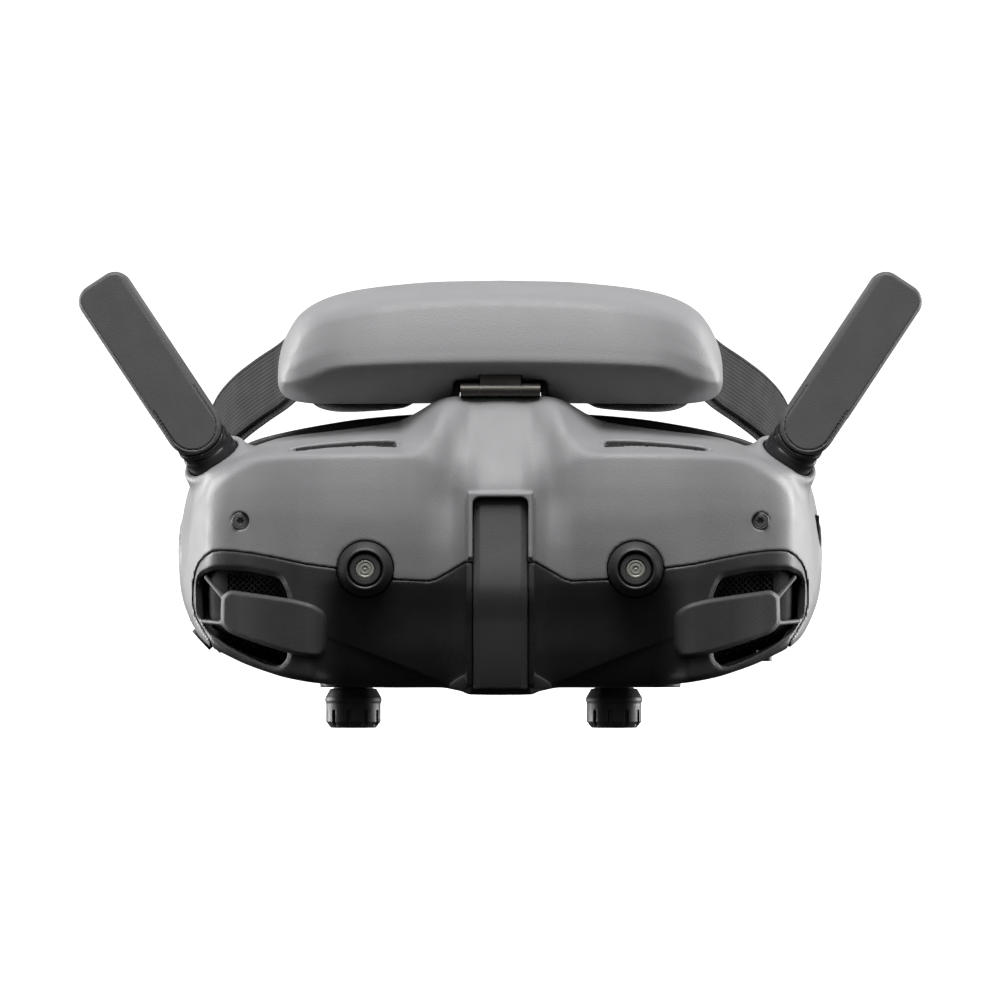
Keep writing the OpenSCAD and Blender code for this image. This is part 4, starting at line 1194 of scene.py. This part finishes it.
def round_section(w, t0, t1, r=0.5, n=4):
    out = []
    for sx, sy in ((1, 1), (-1, 1), (-1, -1), (1, -1)):
        cx, cy = sx * (w / 2 - r), (t1 - r if sy > 0 else t0 + r)
        a0 = {(1, 1): 0, (-1, 1): 90, (-1, -1): 180, (1, -1): 270}[(sx, sy)]
        for i in range(n + 1):
            t = math.radians(a0 + 90 * i / n)
            out.append((cx + r * math.cos(t), cy + r * math.sin(t)))
    return out


def build_headband():
    for name, f, lo, hi, body, node, cap in (
        ("looks_face_foam", f_face_foam, (-85, -8, -33), (85, 25, 43), "visor", "face_foam", 1.0),
        ("looks_forehead_cushion", f_pad_cushion, (-55, -31, 41), (55, 17, 75), "headband", "pad_cushion", 1.3),
        ("looks_battery_cushion", f_battery_pad, (-50, 140, -6), (50, 167, 36), "headband", "battery_pad", 1.0),
    ):
        pts, q = nets(f, lo, hi, 2.0)
        o = inflate(mesh(name, pts, np.ascontiguousarray(q)), cap)
        fit(o, FOAM, "foam", body, node)
    for side, m in (("left", 1), ("right", -1)):
        fr = [(c * [m, 1, 1], v * [m, 1, 1], n * [m, 1, 1]) for c, v, n in strap_frames()]
        o = sweep("looks_strap_" + side, fr, strap_section())
        fit(o, WEB, "webbing", "headband", "strap_" + side)
        o = sweep("looks_lining_" + side, fr, round_section(18, 1.1, 2.15, 0.45))
        fit(o, LINING, "foam", "headband", "strap_lining")
        # stitch rows along the band edges
        for k, e in enumerate((-7.1, 7.1)):
            pts, faces = [], []
            for i in range(0, len(fr) - 1, 1):
                c, v, n = fr[i]
                t = fr[i + 1][0] - c
                base = c + v * e - n * 0.86
                b = len(pts)
                for a0, b0, c0 in ((0.1, -0.16, 0), (0.1, 0.16, 0), (0.66, 0.16, 0), (0.66, -0.16, 0), (0.25, 0, -0.13), (0.5, 0, -0.13)):
                    pts.append(base + t * a0 + v * b0 + n * c0)
                faces += [[b, b + 4, b + 1], [b + 1, b + 4, b + 5, b + 2], [b + 2, b + 5, b + 3], [b + 3, b + 5, b + 4, b], [b, b + 1, b + 2, b + 3]]
            o = mesh("looks_strap_stitch_%s_%d" % (side, k), pts, faces)
            facing_out(o)
            fit(o, THREAD, "webbing", "headband")
    o = piece("looks_battery_shell", f_battery, (-70, 145, -9), (70, 188, 39), 0.7)
    fit(o, BLACK, "black_shell", "headband", "battery_shell")
    o = piece("looks_battery_cover", f_cover, (-73, 160, -9), (73, 193, 39), 0.6)
    fit(o, GREY, "grey_shell", "headband", "battery_cover")
    o = piece("looks_adjust_dial", f_dial, (-14, 188, 1), (14, 198, 29), 0.25)
    fit(o, KNOB, "dark_plastic", "dial", "adjust_dial")
    k = math.radians(22)
    o = lathe("looks_power_button", [(0, 32.2), (4.35, 32.2), (4.35, 35.6), (4.0, 36.0), (3.1, 36.15), (2.9, 35.85), (0, 35.7)],
              (46, 150, 15), (math.sin(k), math.cos(k), 0), 72)
    fit(o, KNOB, "dark_plastic", "power", "power_button")


THREAD = material("thread", (0.05, 0.05, 0.052), rough=0.8)
build_headband()

for node, m in (("nose_flap", RUBBER), ("mainboard", BOARD), ("fan_case", BLACK), ("fan_rotor", DARK), ("guide_rails", STEEL),
                ("hinge_base", METAL), ("hinge_pin", STEEL), ("port_block", BLACK), ("port_cover", RUBBER), ("control_pod", GREY),
                ("joystick_gimbal", STEEL), ("joystick_stem", BLACK), ("joystick_cap", KNOB), ("back_button", KNOB), ("link_button", KNOB),
                ("lens_carriage_left", BLACK), ("lens_carriage_right", BLACK), ("display_panel_left", PANEL), ("display_panel_right", PANEL),
                ("focus_pinion_left", STEEL), ("focus_pinion_right", STEEL), ("eyepiece_barrel_left", BLACK), ("eyepiece_barrel_right", BLACK),
                ("eyepiece_lens_left", EYEGLASS), ("eyepiece_lens_right", EYEGLASS), ("pad_core", METAL), ("battery_cells", CELL)):
    paint(node, m)

# ---------------------------------------------------------------- stage and light
def look_at(o, target):
    o.rotation_euler = (Vector(target) - o.location).to_track_quat("-Z", "Y").to_euler()


def area(name, loc, size, power, target=(0, -0.03, 0.015), sy=None, color=(1, 1, 1)):
    l = bpy.data.lights.new(name, "AREA")
    l.shape = "RECTANGLE"
    l.size, l.size_y = size, sy or size
    l.energy = power
    l.color = color
    o = bpy.data.objects.new(name, l)
    o.location = loc
    bpy.context.scene.collection.objects.link(o)
    look_at(o, target)
    return o


def build_stage():
    # round paper sweep: floor, curved corner and wall on every side
    pts, faces = [], []
    prof = [(0.4, 0), (6.6, 0), (7.3, 0.06), (7.8, 0.3), (8.1, 0.8), (8.2, 1.6), (8.2, 9)]
    n, m = len(prof), 72
    for i in range(m):
        a = 2 * math.pi * i / m
        for r, z in prof:
            pts.append((r * 1000 * math.cos(a), r * 1000 * math.sin(a), (z - 0.0435) * 1000))
    for i in range(m):
        a, b = i * n, (i + 1) % m * n
        for j in range(n - 1):
            faces.append([a + j, b + j, b + j + 1, a + j + 1])
    faces.append([i * n for i in range(m)][::-1])
    o = mesh("studio_floor", pts, faces)
    m = bpy.data.materials.new("studio_paper")
    m.use_nodes = True
    b = m.node_tree.nodes["Principled BSDF"]
    b.inputs["Base Color"].default_value = (0.93, 0.93, 0.93, 1)
    b.inputs["Roughness"].default_value = 0.9
    b.inputs["Emission Color"].default_value = (1, 1, 1, 1)
    b.inputs["Emission Strength"].default_value = 0.9
    o.data.materials.append(m)
    o.visible_glossy = False
    o.visible_diffuse = False
    o.visible_shadow = False
    w = bpy.data.worlds.new("studio")
    w.use_nodes = True
    nt = w.node_tree
    N, L = nt.nodes, nt.links
    tc = N.new("ShaderNodeTexCoord")
    sp = N.new("ShaderNodeSeparateXYZ")
    L.new(tc.outputs["Generated"], sp.inputs[0])
    up = N.new("ShaderNodeMapRange")
    up.interpolation_type = "SMOOTHSTEP"
    up.inputs["From Min"].default_value = -0.12
    up.inputs["From Max"].default_value = 0.9
    up.inputs["To Min"].default_value = 0.02
    up.inputs["To Max"].default_value = 0.6
    L.new(sp.outputs["Z"], up.inputs["Value"])
    L.new(up.outputs["Result"], N["Background"].inputs["Strength"])
    N["Background"].inputs["Color"].default_value = (1, 1, 1, 1)
    bpy.context.scene.world = w
    bpy.context.scene.view_settings.view_transform = "Standard"
    area("key_top", (0.0, -0.5, 0.8), 0.8, KEY, sy=0.5)
    area("side_left", (-0.72, 0.36, 0.1), 0.3, SIDE, sy=0.6)
    area("side_right", (0.72, 0.36, 0.1), 0.3, SIDE, sy=0.6)


KEY, SIDE = 9.5, 8.5


def build_camera():
    c = bpy.data.cameras.new("camera")
    c.lens = 500
    c.sensor_width = 36
    c.clip_end = 60
    dist = 0.2628 * 500 / 36
    el = math.radians(0.0)
    target = Vector((-0.0001, -0.062, 0.0184))
    o = bpy.data.objects.new("camera", c)
    o.location = target + Vector((0, -math.cos(el), math.sin(el))) * dist
    bpy.context.scene.collection.objects.link(o)
    look_at(o, target)
    bpy.context.scene.camera = o


build_stage()
build_camera()
